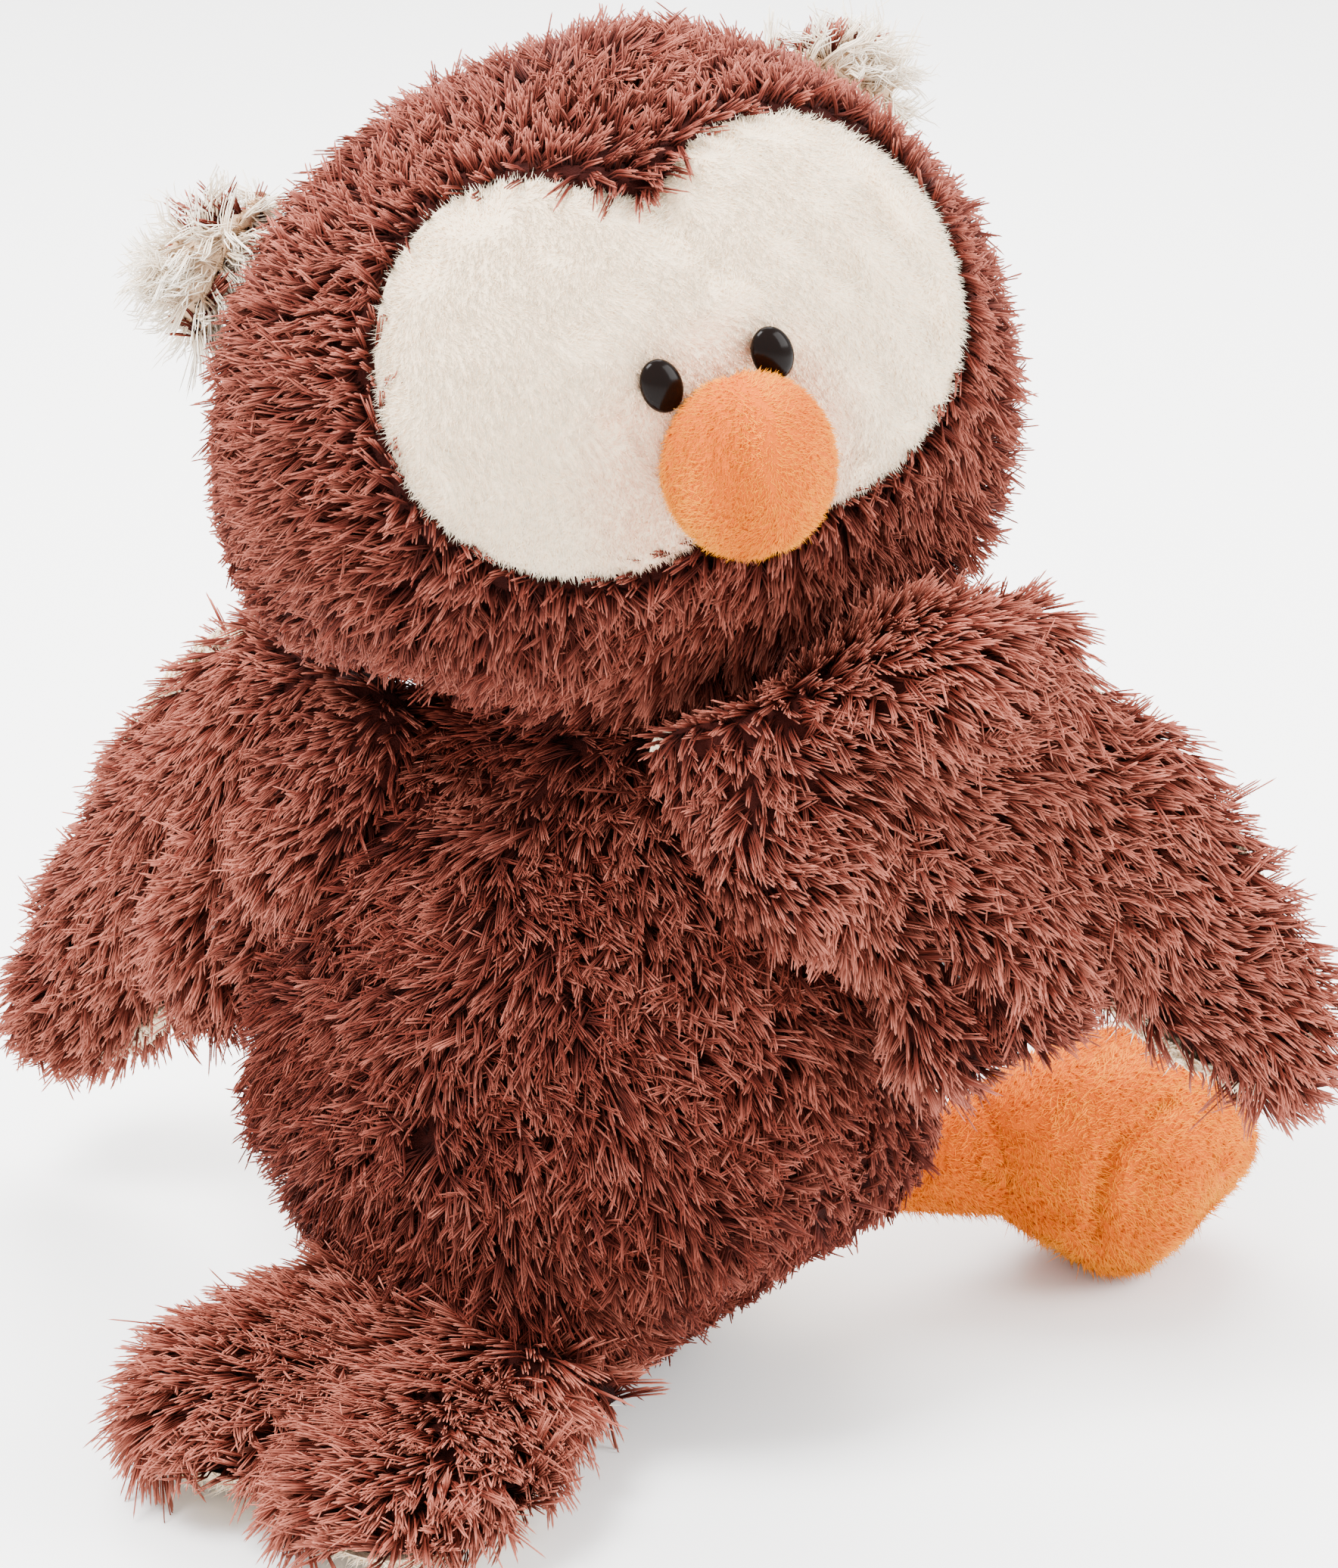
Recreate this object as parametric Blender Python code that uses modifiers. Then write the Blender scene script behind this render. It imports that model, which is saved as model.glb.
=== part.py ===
"""Plush owl that sits with its head turned back over its shoulder, as an assembly of stuffed forms.

Frame: metres, +Z up, the belly faces -Y, the tail lies towards +Y, and the owl's left is +X. The origin
is the middle of the flat seat that the body rests on. The head is modelled in its own frame, whose origin
is the middle of the neck joint and whose -Y is the way the face looks. Each wing, leg and the tail is
modelled in a frame whose origin is on its seam hinge.
"""

from math import cos, pi, radians, sqrt

import bmesh
import bpy
from mathutils import Matrix, Vector

# General sizes, in metres
GAP = 0.0003
SWEEP_CLEARANCE = 0.0015
OVERRUN = 0.02
SEAT_PRESS = 0.0005
LONG_PILE_WALL = 0.010
SHORT_PILE_WALL = 0.004
LINING_WALL = 0.004

# Body: a pear that leans towards the belly
BODY_HALF_WIDTH = 0.089
BODY_BACK_DEPTH = 0.079
BODY_BELLY_DEPTH = 0.090
BODY_WIDEST_HEIGHT = 0.070
BODY_CROWN_HEIGHT = 0.133
BODY_SEAT_DROP = 0.074
BODY_SEAT_SHIFT = Vector((0.004, 0.003))
BODY_LEAN = 0.025
BODY_UPPER_ROUNDNESS_SHARE = 1.7
BODY_LOWER_ROUNDNESS_SHARE = 1.5
BELLY_PANEL_HALF_WIDTH = 0.071
BELLY_PANEL_HALF_HEIGHT = 0.067
BELLY_PANEL_MIDDLE_HEIGHT = 0.084
BELLY_PANEL_START = 0.020

# Bag of pellets that weighs the seat down
PELLET_BAG_RADIUS = 0.044
PELLET_BAG_HALF_HEIGHT = 0.018

# Neck joint: two fibre discs on one bolt, which lets the head turn
NECK_PLACE = Vector((-0.004, -0.027, 0.178))
NECK_TILT = radians(10.0)
NECK_TILT_SIDE = radians(35.0)
HEAD_TURN = radians(-123.0)
NECK_WALL = 0.005
DISC_RADIUS = 0.0185
DISC_THICKNESS = 0.003
WASHER_RADIUS = 0.009
WASHER_THICKNESS = 0.0012
BOLT_RADIUS = 0.003
BOLT_HEAD_RADIUS = 0.0065
BOLT_HEAD_HEIGHT = 0.004
NUT_RADIUS = 0.0065
NUT_HEIGHT = 0.005
BOLT_END = 0.002

# Head: an egg on its side, measured from its middle
HEAD_HALF_WIDTH = 0.103
HEAD_HALF_DEPTH = 0.078
HEAD_HALF_HEIGHT = 0.082
HEAD_MIDDLE_HEIGHT = 0.073
FACE_SINK = 0.004

# Face panel: two joined lobes, as seen from the front
FACE_LOBE_HALF_HEIGHT = 0.047
FACE_LOBE_HEIGHT = 0.017
FACE_OUTLINE_POINTS = 44
FACE_LOBES = (
    # offset to the owl's left, half width
    (-0.031, 0.044),
    (0.022, 0.052),
)

# Beak and eyes, placed from the head's middle
BEAK_RADIUS = 0.0228
BEAK_HEIGHT = -0.005
BEAK_REACH = 0.078
BEAK_TWIST = radians(11.0)
EYE_SPACING = 0.0275
EYE_HEIGHT = 0.019
EYE_HALF_WIDTH = 0.0049
EYE_HALF_HEIGHT = 0.0065
EYE_DOME = 0.0042
EYE_SHANK_RADIUS = 0.002
EYE_SHANK_LENGTH = 0.014
EYE_WASHER_RADIUS = 0.006
EYE_WASHER_THICKNESS = 0.0015
EYE_WASHER_DEPTH = 0.0045

# Ear tufts on the upper sides of the head
EAR_SIDE = 0.074
EAR_BACK = 0.031
EAR_HEIGHT = 0.039
EAR_HALF_WIDTH = 0.022
EAR_HALF_DEPTH = 0.014
EAR_HALF_HEIGHT = 0.027
EAR_LEAN = radians(70.0)

# Wings: three lobes each, placed from the hinge on the shoulder. X is outwards, Y backwards
LEFT_WING_SIDE = 0.050
RIGHT_WING_SIDE = 0.0424
WING_PLACE_BACK = 0.009
WING_HALF_THICKNESS = 0.018
WING_LOBES = (
    # name, root, tip, half width at the root, half width at the tip
    ("shoulder", (0.028, 0.002, -0.010), (0.082, -0.008, -0.050), 0.037, 0.034),
    ("outer", (0.054, -0.006, -0.016), (0.121, -0.029, -0.130), 0.037, 0.026),
    ("middle", (0.030, 0.004, -0.020), (0.067, 0.007, -0.102), 0.030, 0.025),
    ("inner", (0.008, 0.012, -0.012), (0.026, 0.021, -0.049), 0.024, 0.022),
)
LEFT_WING_HEIGHT = 0.163
LEFT_WING_RIDE = 0.0
RIGHT_WING_HEIGHT = 0.173
RIGHT_WING_RIDE = 0.014
LEFT_WING_SWING = radians(5.0)
LEFT_WING_RAISE = radians(0.0)
RIGHT_WING_SWING = radians(25.0)
RIGHT_WING_RAISE = radians(13.0)
WING_SURFACE_SWING = radians(-14.0)
WING_LIFT_LIMIT = radians(20.0)

# Legs: a short leg and a wedge foot with three toes, placed from the hinge at the top of the hip seam
LEG_PLACE_SIDE = 0.046
LEG_PLACE_FRONT = 0.072
LEG_PLACE_HEIGHT = 0.048
LEG_SPLAY = radians(38.0)
LEG_HALF_WIDTH = 0.011
LEG_DROP = 0.013
LEG_ROOT_REACH = 0.034
FOOT_HALF_WIDTH = 0.035
FOOT_HALF_LENGTH = 0.036
FOOT_HALF_HEIGHT = 0.032
FOOT_REACH = 0.060
FOOT_PRESS = 0.0023
FOOT_ROUNDNESS_SHARE = 2.5
FOOT_HEEL_TAPER_SHARE = 0.20
TOE_COUNT = 3
TOE_DEPTH_SHARE = 0.07
TOE_LIFT = 0.020

# Tail: two lobes on the ground, placed from the hinge at the top of its seam
TAIL_PLACE_BACK = 0.073
TAIL_PLACE_HEIGHT = 0.038
TAIL_HALF_THICKNESS = 0.019
TAIL_SPLIT_HEIGHT = 0.011
TAIL_LOBES = (
    # name, root, tip, half width at the root, half width at the tip
    ("left", (0.014, -0.020, -0.019), (0.032, 0.066, -0.019), 0.037, 0.033),
    ("right", (-0.016, -0.017, -0.018), (-0.027, 0.070, -0.019), 0.036, 0.034),
)

# Cage densities, as counts
BODY_CAGE = (12, 8)
HEAD_CAGE = (12, 8)
INNER_CAGE = (8, 6)
LOBE_CAGE = (7, 5)
INNER_LOBE_CAGE = (6, 4)
SMALL_CAGE = (7, 5)
BEAK_CAGE = (9, 6)
FOOT_CAGE = (10, 6)
LOBE_ROUNDNESS_SHARE = 2.8
ROUND_VERTICES = 24
OUTLINE_VERTICES = 32
SHANK_VERTICES = 16
NUT_SIDES = 6

# Materials: name, colour, roughness, metallic
BROWN_PLUSH = ("brown_plush", (0.34, 0.12, 0.085), 0.95, 0.0)
CREAM_PLUSH = ("cream_plush", (0.86, 0.76, 0.66), 0.95, 0.0)
ORANGE_PLUSH = ("orange_plush", (0.95, 0.31, 0.03), 0.95, 0.0)
MOHAIR = ("cream_mohair", (0.72, 0.58, 0.42), 0.95, 0.0)
FIBRE_FILL = ("fibre_fill", (0.9, 0.9, 0.88), 1.0, 0.0)
PELLET_CLOTH = ("pellet_cloth", (0.7, 0.7, 0.72), 0.9, 0.0)
BLACK_GLOSS = ("black_gloss", (0.012, 0.009, 0.008), 0.08, 0.0)
WHITE_PLASTIC = ("white_plastic", (0.85, 0.85, 0.83), 0.5, 0.0)
FIBRE_BOARD = ("fibre_board", (0.42, 0.28, 0.16), 0.8, 0.0)
ZINC_STEEL = ("zinc_steel", (0.62, 0.62, 0.64), 0.35, 1.0)


class Workshop:
    """Holds the two collections and makes objects, materials and cuts in them."""

    def __init__(self):
        for old in list(bpy.data.objects):
            bpy.data.objects.remove(old, do_unlink=True)
        self.parts = bpy.data.collections.new("plush_owl")
        self.cutters = bpy.data.collections.new("plush_owl_cutters")
        bpy.context.scene.collection.children.link(self.parts)
        bpy.context.scene.collection.children.link(self.cutters)
        self.cutters.hide_render = True

    def frame(self, name, matrix):
        """An empty on a joint's axis that carries the pieces of one moving body."""
        empty = bpy.data.objects.new(name, None)
        empty.empty_display_size = DISC_RADIUS
        self.parts.objects.link(empty)
        empty.matrix_world = matrix
        return empty

    def add(self, name, mesh, carrier, look=None, levels=0, matrix=None):
        """A part when it has a look, and else a cutter."""
        made = bpy.data.objects.new(name, mesh)
        if look is None:
            self.cutters.objects.link(made)
            made.hide_render = True
            made.display_type = "WIRE"
        else:
            self.parts.objects.link(made)
            mesh.materials.append(plain_material(*look))
            mesh.shade_smooth()
        made.parent = carrier
        if matrix is not None:
            made.matrix_local = matrix
        if levels:
            soft = made.modifiers.new("soft", "SUBSURF")
            soft.levels = levels
            soft.render_levels = levels
        return made


def plain_material(name, colour, roughness, metallic):
    """A Principled material of this colour, made once."""
    found = bpy.data.materials.get(name)
    if found is not None:
        return found
    made = bpy.data.materials.new(name)
    made.use_nodes = True
    surface = made.node_tree.nodes["Principled BSDF"]
    surface.inputs["Base Color"].default_value = (*colour, 1.0)
    surface.inputs["Roughness"].default_value = roughness
    surface.inputs["Metallic"].default_value = metallic
    return made


def boolean(piece, operation, others):
    """Cuts, keeps or joins the piece with all of the others at once."""
    step = piece.modifiers.new(operation.lower(), "BOOLEAN")
    step.operation = operation
    step.solver = "EXACT"
    if len(others) == 1:
        step.object = others[0]
        return
    group = bpy.data.collections.new(f"{piece.name} {operation.lower()}")
    bpy.data.collections["plush_owl_cutters"].children.link(group)
    group.hide_render = True
    for other in others:
        group.objects.link(other)
    step.operand_type = "COLLECTION"
    step.collection = group


# Meshes


def cage_swell(count):
    """How much larger a ring of this many cage points is than the smooth ring inside it."""
    return 3.0 / (2.0 + cos(2.0 * pi / count))


def ball_mesh(name, cage, shape):
    """A cage with the poles on Z, each point of the unit ball moved by the shape, swollen for smoothing."""
    segments, rings = cage
    around = cage_swell(segments)
    along = cage_swell(2 * rings)
    build = bmesh.new()
    bmesh.ops.create_uvsphere(build, u_segments=segments, v_segments=rings, radius=1.0)
    for point in build.verts:
        unit = point.co.normalized()
        point.co = shape(unit, around, along)
    return finished(name, build)


def finished(name, build):
    """The mesh of a closed form whose faces all look outwards."""
    bmesh.ops.recalc_face_normals(build, faces=build.faces)
    if build.calc_volume(signed=True) < 0.0:
        bmesh.ops.reverse_faces(build, faces=build.faces)
    mesh = bpy.data.meshes.new(name)
    build.to_mesh(mesh)
    build.free()
    return mesh


def cylinder_mesh(name, radius, low, high, count=ROUND_VERTICES):
    """A closed cylinder along Z between two heights."""
    build = bmesh.new()
    bmesh.ops.create_cone(
        build,
        cap_ends=True,
        segments=count,
        radius1=radius,
        radius2=radius,
        depth=high - low,
        matrix=Matrix.Translation((0.0, 0.0, (high + low) / 2)),
    )
    return finished(name, build)


def box_mesh(name, low, high):
    """A closed box between two corners."""
    build = bmesh.new()
    bmesh.ops.create_cube(build, size=1.0)
    for point in build.verts:
        point.co = Vector(
            low[side] + (point.co[side] + 0.5) * (high[side] - low[side]) for side in range(3)
        )
    return finished(name, build)


def prism_mesh(name, outline, low, high):
    """A closed prism along Y over an outline of X and Z pairs."""
    build = bmesh.new()
    ring = [build.verts.new((x, low, z)) for x, z in outline]
    cap = build.faces.new(ring)
    grown = bmesh.ops.extrude_face_region(build, geom=[cap])
    moved = [item for item in grown["geom"] if isinstance(item, bmesh.types.BMVert)]
    bmesh.ops.translate(build, vec=(0.0, high - low, 0.0), verts=moved)
    return finished(name, build)


# Shapes: each takes a point of the unit ball and the swell of its cage


def round_share(height, power):
    """The share of the full radius left at this share of the height."""
    left = max(0.0, 1.0 - abs(height) ** power)
    return left ** (1.0 / power)


def body_shape(inset):
    """The pear of the body, this much inside its outer surface."""
    lowest = inset - SEAT_PRESS

    def place(unit, around, along):
        top = unit.z > 0.0
        rise = BODY_CROWN_HEIGHT if top else BODY_SEAT_DROP
        power = BODY_UPPER_ROUNDNESS_SHARE if top else BODY_LOWER_ROUNDNESS_SHARE
        depth = BODY_BACK_DEPTH if unit.y > 0.0 else BODY_BELLY_DEPTH
        flat = sqrt(unit.x**2 + unit.y**2)
        share = round_share(unit.z, power) * around
        side = Vector((unit.x, unit.y)) / flat if flat > SEAT_PRESS else Vector((0.0, 0.0))
        height = BODY_WIDEST_HEIGHT + unit.z * (rise - inset) * along
        lean = BODY_LEAN * (height / NECK_PLACE.z) ** 2
        shift = BODY_SEAT_SHIFT * max(0.0, 1.0 - height / BODY_WIDEST_HEIGHT)
        x = side.x * share * (BODY_HALF_WIDTH - inset) + shift.x
        y = side.y * share * (depth - inset) + shift.y - lean
        return Vector((x, y, max(height, lowest)))

    return place


def head_shape(inset):
    """The egg of the head, about its middle, this much inside its outer surface."""

    def place(unit, around, along):
        return Vector(
            (
                unit.x * around * (HEAD_HALF_WIDTH - inset),
                unit.y * around * (HEAD_HALF_DEPTH - inset),
                unit.z * along * (HEAD_HALF_HEIGHT - inset) + HEAD_MIDDLE_HEIGHT,
            )
        )

    return place


def ball_shape(half_x, half_y, half_z, middle=(0.0, 0.0, 0.0)):
    """An ellipsoid about its middle."""

    def place(unit, around, along):
        scaled = Vector((unit.x * around * half_x, unit.y * around * half_y, unit.z * along * half_z))
        return scaled + Vector(middle)

    return place


def lobe_shape(root, tip, root_width, tip_width, thickness, thin_side, inset):
    """A tapered stuffed lobe from its root to its tip, flattened along its thin side."""
    start = Vector(root)
    axis = Vector(tip) - start
    length = axis.length
    ahead = axis.normalized()
    thin = (thin_side - ahead * thin_side.dot(ahead)).normalized()
    broad = ahead.cross(thin)
    half_root = root_width - inset
    half_tip = tip_width - inset

    def place(unit, around, along):
        travel = 0.5 + 0.5 * unit.z
        flat = sqrt(unit.x**2 + unit.y**2)
        full = round_share(unit.z, LOBE_ROUNDNESS_SHARE) / flat if flat > SEAT_PRESS else 1.0
        width = half_root + (half_tip - half_root) * travel
        reach = -half_root + (length - inset + half_root) * travel
        end = reach + (along - 1.0) * unit.z * width
        sideways = broad * unit.x * full * around * width
        outwards = thin * unit.y * full * around * (thickness - inset)
        return start + ahead * end + sideways + outwards

    return place


def foot_shape(inset):
    """The wedge foot about its middle: a narrow heel at +Y, three toes at -Y and a flat sole."""

    def place(unit, around, along):
        flat = sqrt(unit.x**2 + unit.y**2)
        side = Vector((unit.x, unit.y)) / flat if flat > SEAT_PRESS else Vector((0.0, 0.0))
        share = round_share(unit.z, FOOT_ROUNDNESS_SHARE) * around
        square = (abs(side.x) ** FOOT_ROUNDNESS_SHARE + abs(side.y) ** FOOT_ROUNDNESS_SHARE) ** (
            -1.0 / FOOT_ROUNDNESS_SHARE
        ) if flat > SEAT_PRESS else 1.0
        forward = max(0.0, -side.y)
        toes = 1.0 + TOE_DEPTH_SHARE * forward * cos(TOE_COUNT * 2.0 * side.x)
        taper = 1.0 - FOOT_HEEL_TAPER_SHARE * max(0.0, side.y)
        x = side.x * square * share * taper * (FOOT_HALF_WIDTH - inset)
        y = side.y * square * share * toes * (FOOT_HALF_LENGTH - inset)
        z = unit.z * along * (FOOT_HALF_HEIGHT - inset)
        lift = TOE_LIFT * forward * max(0.0, -unit.z) * flat
        return Vector((x, y, max(z, inset - FOOT_HALF_HEIGHT) + lift))

    return place


def face_outline(margin):
    """The outline of two joined lobes, this much inside the seam, as points that run round it."""
    points = []
    for step in range(FACE_OUTLINE_POINTS):
        angle = 2.0 * pi * (step + 0.5) / FACE_OUTLINE_POINTS
        ray = Vector((cos(angle), cos(angle - pi / 2)))
        reach = max(oval_reach(ray, *lobe, FACE_LOBE_HALF_HEIGHT) for lobe in FACE_LOBES) - margin
        points.append((ray.x * reach, ray.y * reach + FACE_LOBE_HEIGHT))
    return points


def oval_reach(ray, offset, half_width, half_height):
    """How far a ray from the origin runs before it leaves an oval that sits off to one side."""
    a = (ray.x / half_width) ** 2 + (ray.y / half_height) ** 2
    b = -2.0 * ray.x * offset / half_width**2
    c = (offset / half_width) ** 2 - 1.0
    inside = b * b - 4.0 * a * c
    if inside < 0.0:
        return 0.0
    return max(0.0, (-b + sqrt(inside)) / (2.0 * a))


# Frames of the moving bodies


def neck_matrix():
    """The head's frame: the neck plane leans to the owl's left and back, and the head is turned on it."""
    lean_axis = Vector((cos(NECK_TILT_SIDE + pi / 2), cos(NECK_TILT_SIDE), 0.0))
    lean = Matrix.Rotation(NECK_TILT, 4, lean_axis)
    return Matrix.Translation(NECK_PLACE) @ lean @ Matrix.Rotation(HEAD_TURN, 4, "Z")


def wing_matrix(side, reach, height, swing, lift):
    """A wing's frame on its shoulder: side is 1 for the owl's left and -1 for its right."""
    place = Matrix.Translation((side * reach, WING_PLACE_BACK, height))
    return place @ Matrix.Rotation(swing, 4, "Z") @ Matrix.Rotation(-side * lift, 4, "Y")


def leg_matrix(side):
    """A leg's frame at the top of its hip seam, splayed outwards."""
    place = Matrix.Translation((side * LEG_PLACE_SIDE, -LEG_PLACE_FRONT, LEG_PLACE_HEIGHT))
    return place @ Matrix.Rotation(side * LEG_SPLAY, 4, "Z")


def tail_matrix():
    """The tail's frame at the top of its seam."""
    return Matrix.Translation((0.0, TAIL_PLACE_BACK, TAIL_PLACE_HEIGHT))


# Sub-assemblies


def build_body(shop, neck):
    """The body's cover, belly panel, stuffing and bag of pellets, and the cutters that the limbs share."""
    cover_wall = LONG_PILE_WALL
    cavity = shop.add(
        "body_cavity", ball_mesh("body_cavity", INNER_CAGE, body_shape(cover_wall)), None, None, 1
    )
    keep_out = shop.add("body_keep_out", ball_mesh("body_keep_out", BODY_CAGE, body_shape(-GAP)), None, None, 1)
    shop.add("body_sweep", ball_mesh("body_sweep", BODY_CAGE, body_shape(-2 * GAP)), None, None, 1)
    above_neck = box_cutter(shop, "above_neck", neck, -GAP, OVERRUN + BODY_CROWN_HEIGHT)
    above_wall = box_cutter(shop, "above_neck_wall", neck, -NECK_WALL, OVERRUN + BODY_CROWN_HEIGHT)
    above_fill = box_cutter(shop, "above_body_fill", neck, -NECK_WALL - GAP, OVERRUN + BODY_CROWN_HEIGHT)
    below_ground = ground_cutter(shop, "below_ground", 0.0)
    bolt_way = shop.add(
        "bolt_way",
        cylinder_mesh("bolt_way", BOLT_RADIUS + GAP, -OVERRUN, OVERRUN),
        neck,
    )
    boolean(cavity, "DIFFERENCE", [above_wall])
    belly_gate = belly_prism(shop, "belly_gate", 0.0)
    belly_patch = belly_prism(shop, "belly_patch", GAP)

    cover = shop.add(
        "body_cover", ball_mesh("body_cover", BODY_CAGE, body_shape(0.0)), None, BROWN_PLUSH, 1
    )
    boolean(cover, "DIFFERENCE", [above_neck, below_ground, cavity, belly_gate, bolt_way])

    panel = shop.add(
        "belly_panel", ball_mesh("belly_panel", BODY_CAGE, body_shape(0.0)), None, CREAM_PLUSH, 1
    )
    boolean(panel, "INTERSECT", [belly_patch])
    boolean(panel, "DIFFERENCE", [cavity])

    bag_height = cover_wall + GAP
    bag_middle = (0.0, 0.0, bag_height + PELLET_BAG_HALF_HEIGHT * 0.5)
    pocket = shop.add(
        "pellet_pocket",
        ball_mesh(
            "pellet_pocket",
            SMALL_CAGE,
            ball_shape(PELLET_BAG_RADIUS + GAP, PELLET_BAG_RADIUS + GAP, PELLET_BAG_HALF_HEIGHT + GAP, bag_middle),
        ),
        None,
        None,
        1,
    )
    bag = shop.add(
        "pellet_bag",
        ball_mesh(
            "pellet_bag",
            SMALL_CAGE,
            ball_shape(PELLET_BAG_RADIUS, PELLET_BAG_RADIUS, PELLET_BAG_HALF_HEIGHT, bag_middle),
        ),
        None,
        PELLET_CLOTH,
        1,
    )
    boolean(bag, "DIFFERENCE", [ground_cutter(shop, "below_bag", bag_height)])
    bag_room = shop.add(
        "bag_room", ball_mesh("bag_room", INNER_CAGE, body_shape(cover_wall + 2 * GAP)), None, None, 1
    )
    boolean(bag, "INTERSECT", [bag_room])

    disc_way = shop.add(
        "body_disc_way",
        cylinder_mesh(
            "body_disc_way",
            DISC_RADIUS + GAP,
            -NECK_WALL - DISC_THICKNESS - 2 * GAP,
            OVERRUN,
        ),
        neck,
    )
    nut_way = shop.add(
        "nut_way",
        cylinder_mesh("nut_way", WASHER_RADIUS + GAP, -bolt_depth() - GAP, OVERRUN),
        neck,
    )
    stuffing = shop.add(
        "body_stuffing",
        ball_mesh("body_stuffing", INNER_CAGE, body_shape(cover_wall + 3 * GAP)),
        None,
        FIBRE_FILL,
        1,
    )
    boolean(stuffing, "DIFFERENCE", [above_fill, pocket, disc_way, nut_way])
    return keep_out


def box_cutter(shop, name, carrier, low, high):
    """A broad slab between two heights of its carrier's frame."""
    reach = HEAD_HALF_WIDTH + OVERRUN
    return shop.add(name, box_mesh(name, (-reach, -reach, low), (reach, reach, high)), carrier)


def ground_cutter(shop, name, height):
    """A slab below this height of the world."""
    reach = BODY_BELLY_DEPTH + HEAD_HALF_WIDTH + OVERRUN
    return shop.add(name, box_mesh(name, (-reach, -reach, height - 2 * OVERRUN), (reach, reach, height)), None)


def belly_prism(shop, name, margin):
    """The oval of the belly panel, run from inside the body out past the belly."""
    outline = []
    for step in range(OUTLINE_VERTICES):
        angle = 2.0 * pi * (step + 0.5) / OUTLINE_VERTICES
        x = (BELLY_PANEL_HALF_WIDTH - margin) * cos(angle)
        z = BELLY_PANEL_MIDDLE_HEIGHT + (BELLY_PANEL_HALF_HEIGHT - margin) * cos(angle - pi / 2)
        outline.append((x, z))
    front = -BODY_BELLY_DEPTH - 2 * OVERRUN
    return shop.add(name, prism_mesh(name, outline, front, -BELLY_PANEL_START - margin), None)


def bolt_depth():
    """How far the bolt runs below the neck plane."""
    return NECK_WALL + DISC_THICKNESS + WASHER_THICKNESS + NUT_HEIGHT + 3 * GAP + BOLT_END


def build_neck_joint(shop, neck):
    """The two discs, two washers, bolt and nut that hold the head and let it turn."""
    hole = BOLT_RADIUS + GAP
    disc_inner = NECK_WALL + GAP
    disc_outer = disc_inner + DISC_THICKNESS
    washer_inner = disc_outer + GAP
    washer_outer = washer_inner + WASHER_THICKNESS
    seat = washer_outer + GAP
    ring(shop, "head_disc", neck, DISC_RADIUS, hole, disc_inner, disc_outer, FIBRE_BOARD)
    ring(shop, "body_disc", neck, DISC_RADIUS, hole, -disc_outer, -disc_inner, FIBRE_BOARD)
    ring(shop, "head_washer", neck, WASHER_RADIUS, hole, washer_inner, washer_outer, ZINC_STEEL)
    ring(shop, "body_washer", neck, WASHER_RADIUS, hole, -washer_outer, -washer_inner, ZINC_STEEL)
    ring(shop, "neck_nut", neck, NUT_RADIUS, hole, -seat - NUT_HEIGHT, -seat, ZINC_STEEL, NUT_SIDES)
    bolt = shop.add(
        "neck_bolt",
        cylinder_mesh("neck_bolt", BOLT_HEAD_RADIUS, seat, seat + BOLT_HEAD_HEIGHT),
        neck,
        ZINC_STEEL,
    )
    shank = shop.add(
        "bolt_shank",
        cylinder_mesh("bolt_shank", BOLT_RADIUS, -bolt_depth(), seat + BOLT_HEAD_HEIGHT / 2),
        neck,
    )
    boolean(bolt, "UNION", [shank])


def ring(shop, name, carrier, radius, hole, low, high, look, count=ROUND_VERTICES):
    """A flat ring along the carrier's Z."""
    made = shop.add(name, cylinder_mesh(name, radius, low, high, count), carrier, look)
    way = shop.add(f"{name}_hole", cylinder_mesh(f"{name}_hole", hole, low - GAP, high + GAP), carrier)
    boolean(made, "DIFFERENCE", [way])
    return made


def head_ball(shop, name, inset, look=None):
    """The head's egg at this inset, as a part when it has a look and else as a cutter."""
    cage = HEAD_CAGE if inset < LONG_PILE_WALL else INNER_CAGE
    return shop.add(name, ball_mesh(name, cage, head_shape(inset)), shop.neck, look, 1)


def eye_matrix(side):
    """An eye's frame on the face panel: Z points out of the face."""
    x = side * EYE_SPACING / 2
    width = HEAD_HALF_WIDTH - FACE_SINK
    depth = HEAD_HALF_DEPTH - FACE_SINK
    height = HEAD_HALF_HEIGHT - FACE_SINK
    y = -depth * sqrt(1.0 - (x / width) ** 2 - (EYE_HEIGHT / height) ** 2)
    out = Vector((x / width**2, y / depth**2, EYE_HEIGHT / height**2)).normalized()
    turn = out.to_track_quat("Z", "Y").to_matrix().to_4x4()
    return Matrix.Translation((x, y, EYE_HEIGHT + HEAD_MIDDLE_HEIGHT)) @ turn


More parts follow.
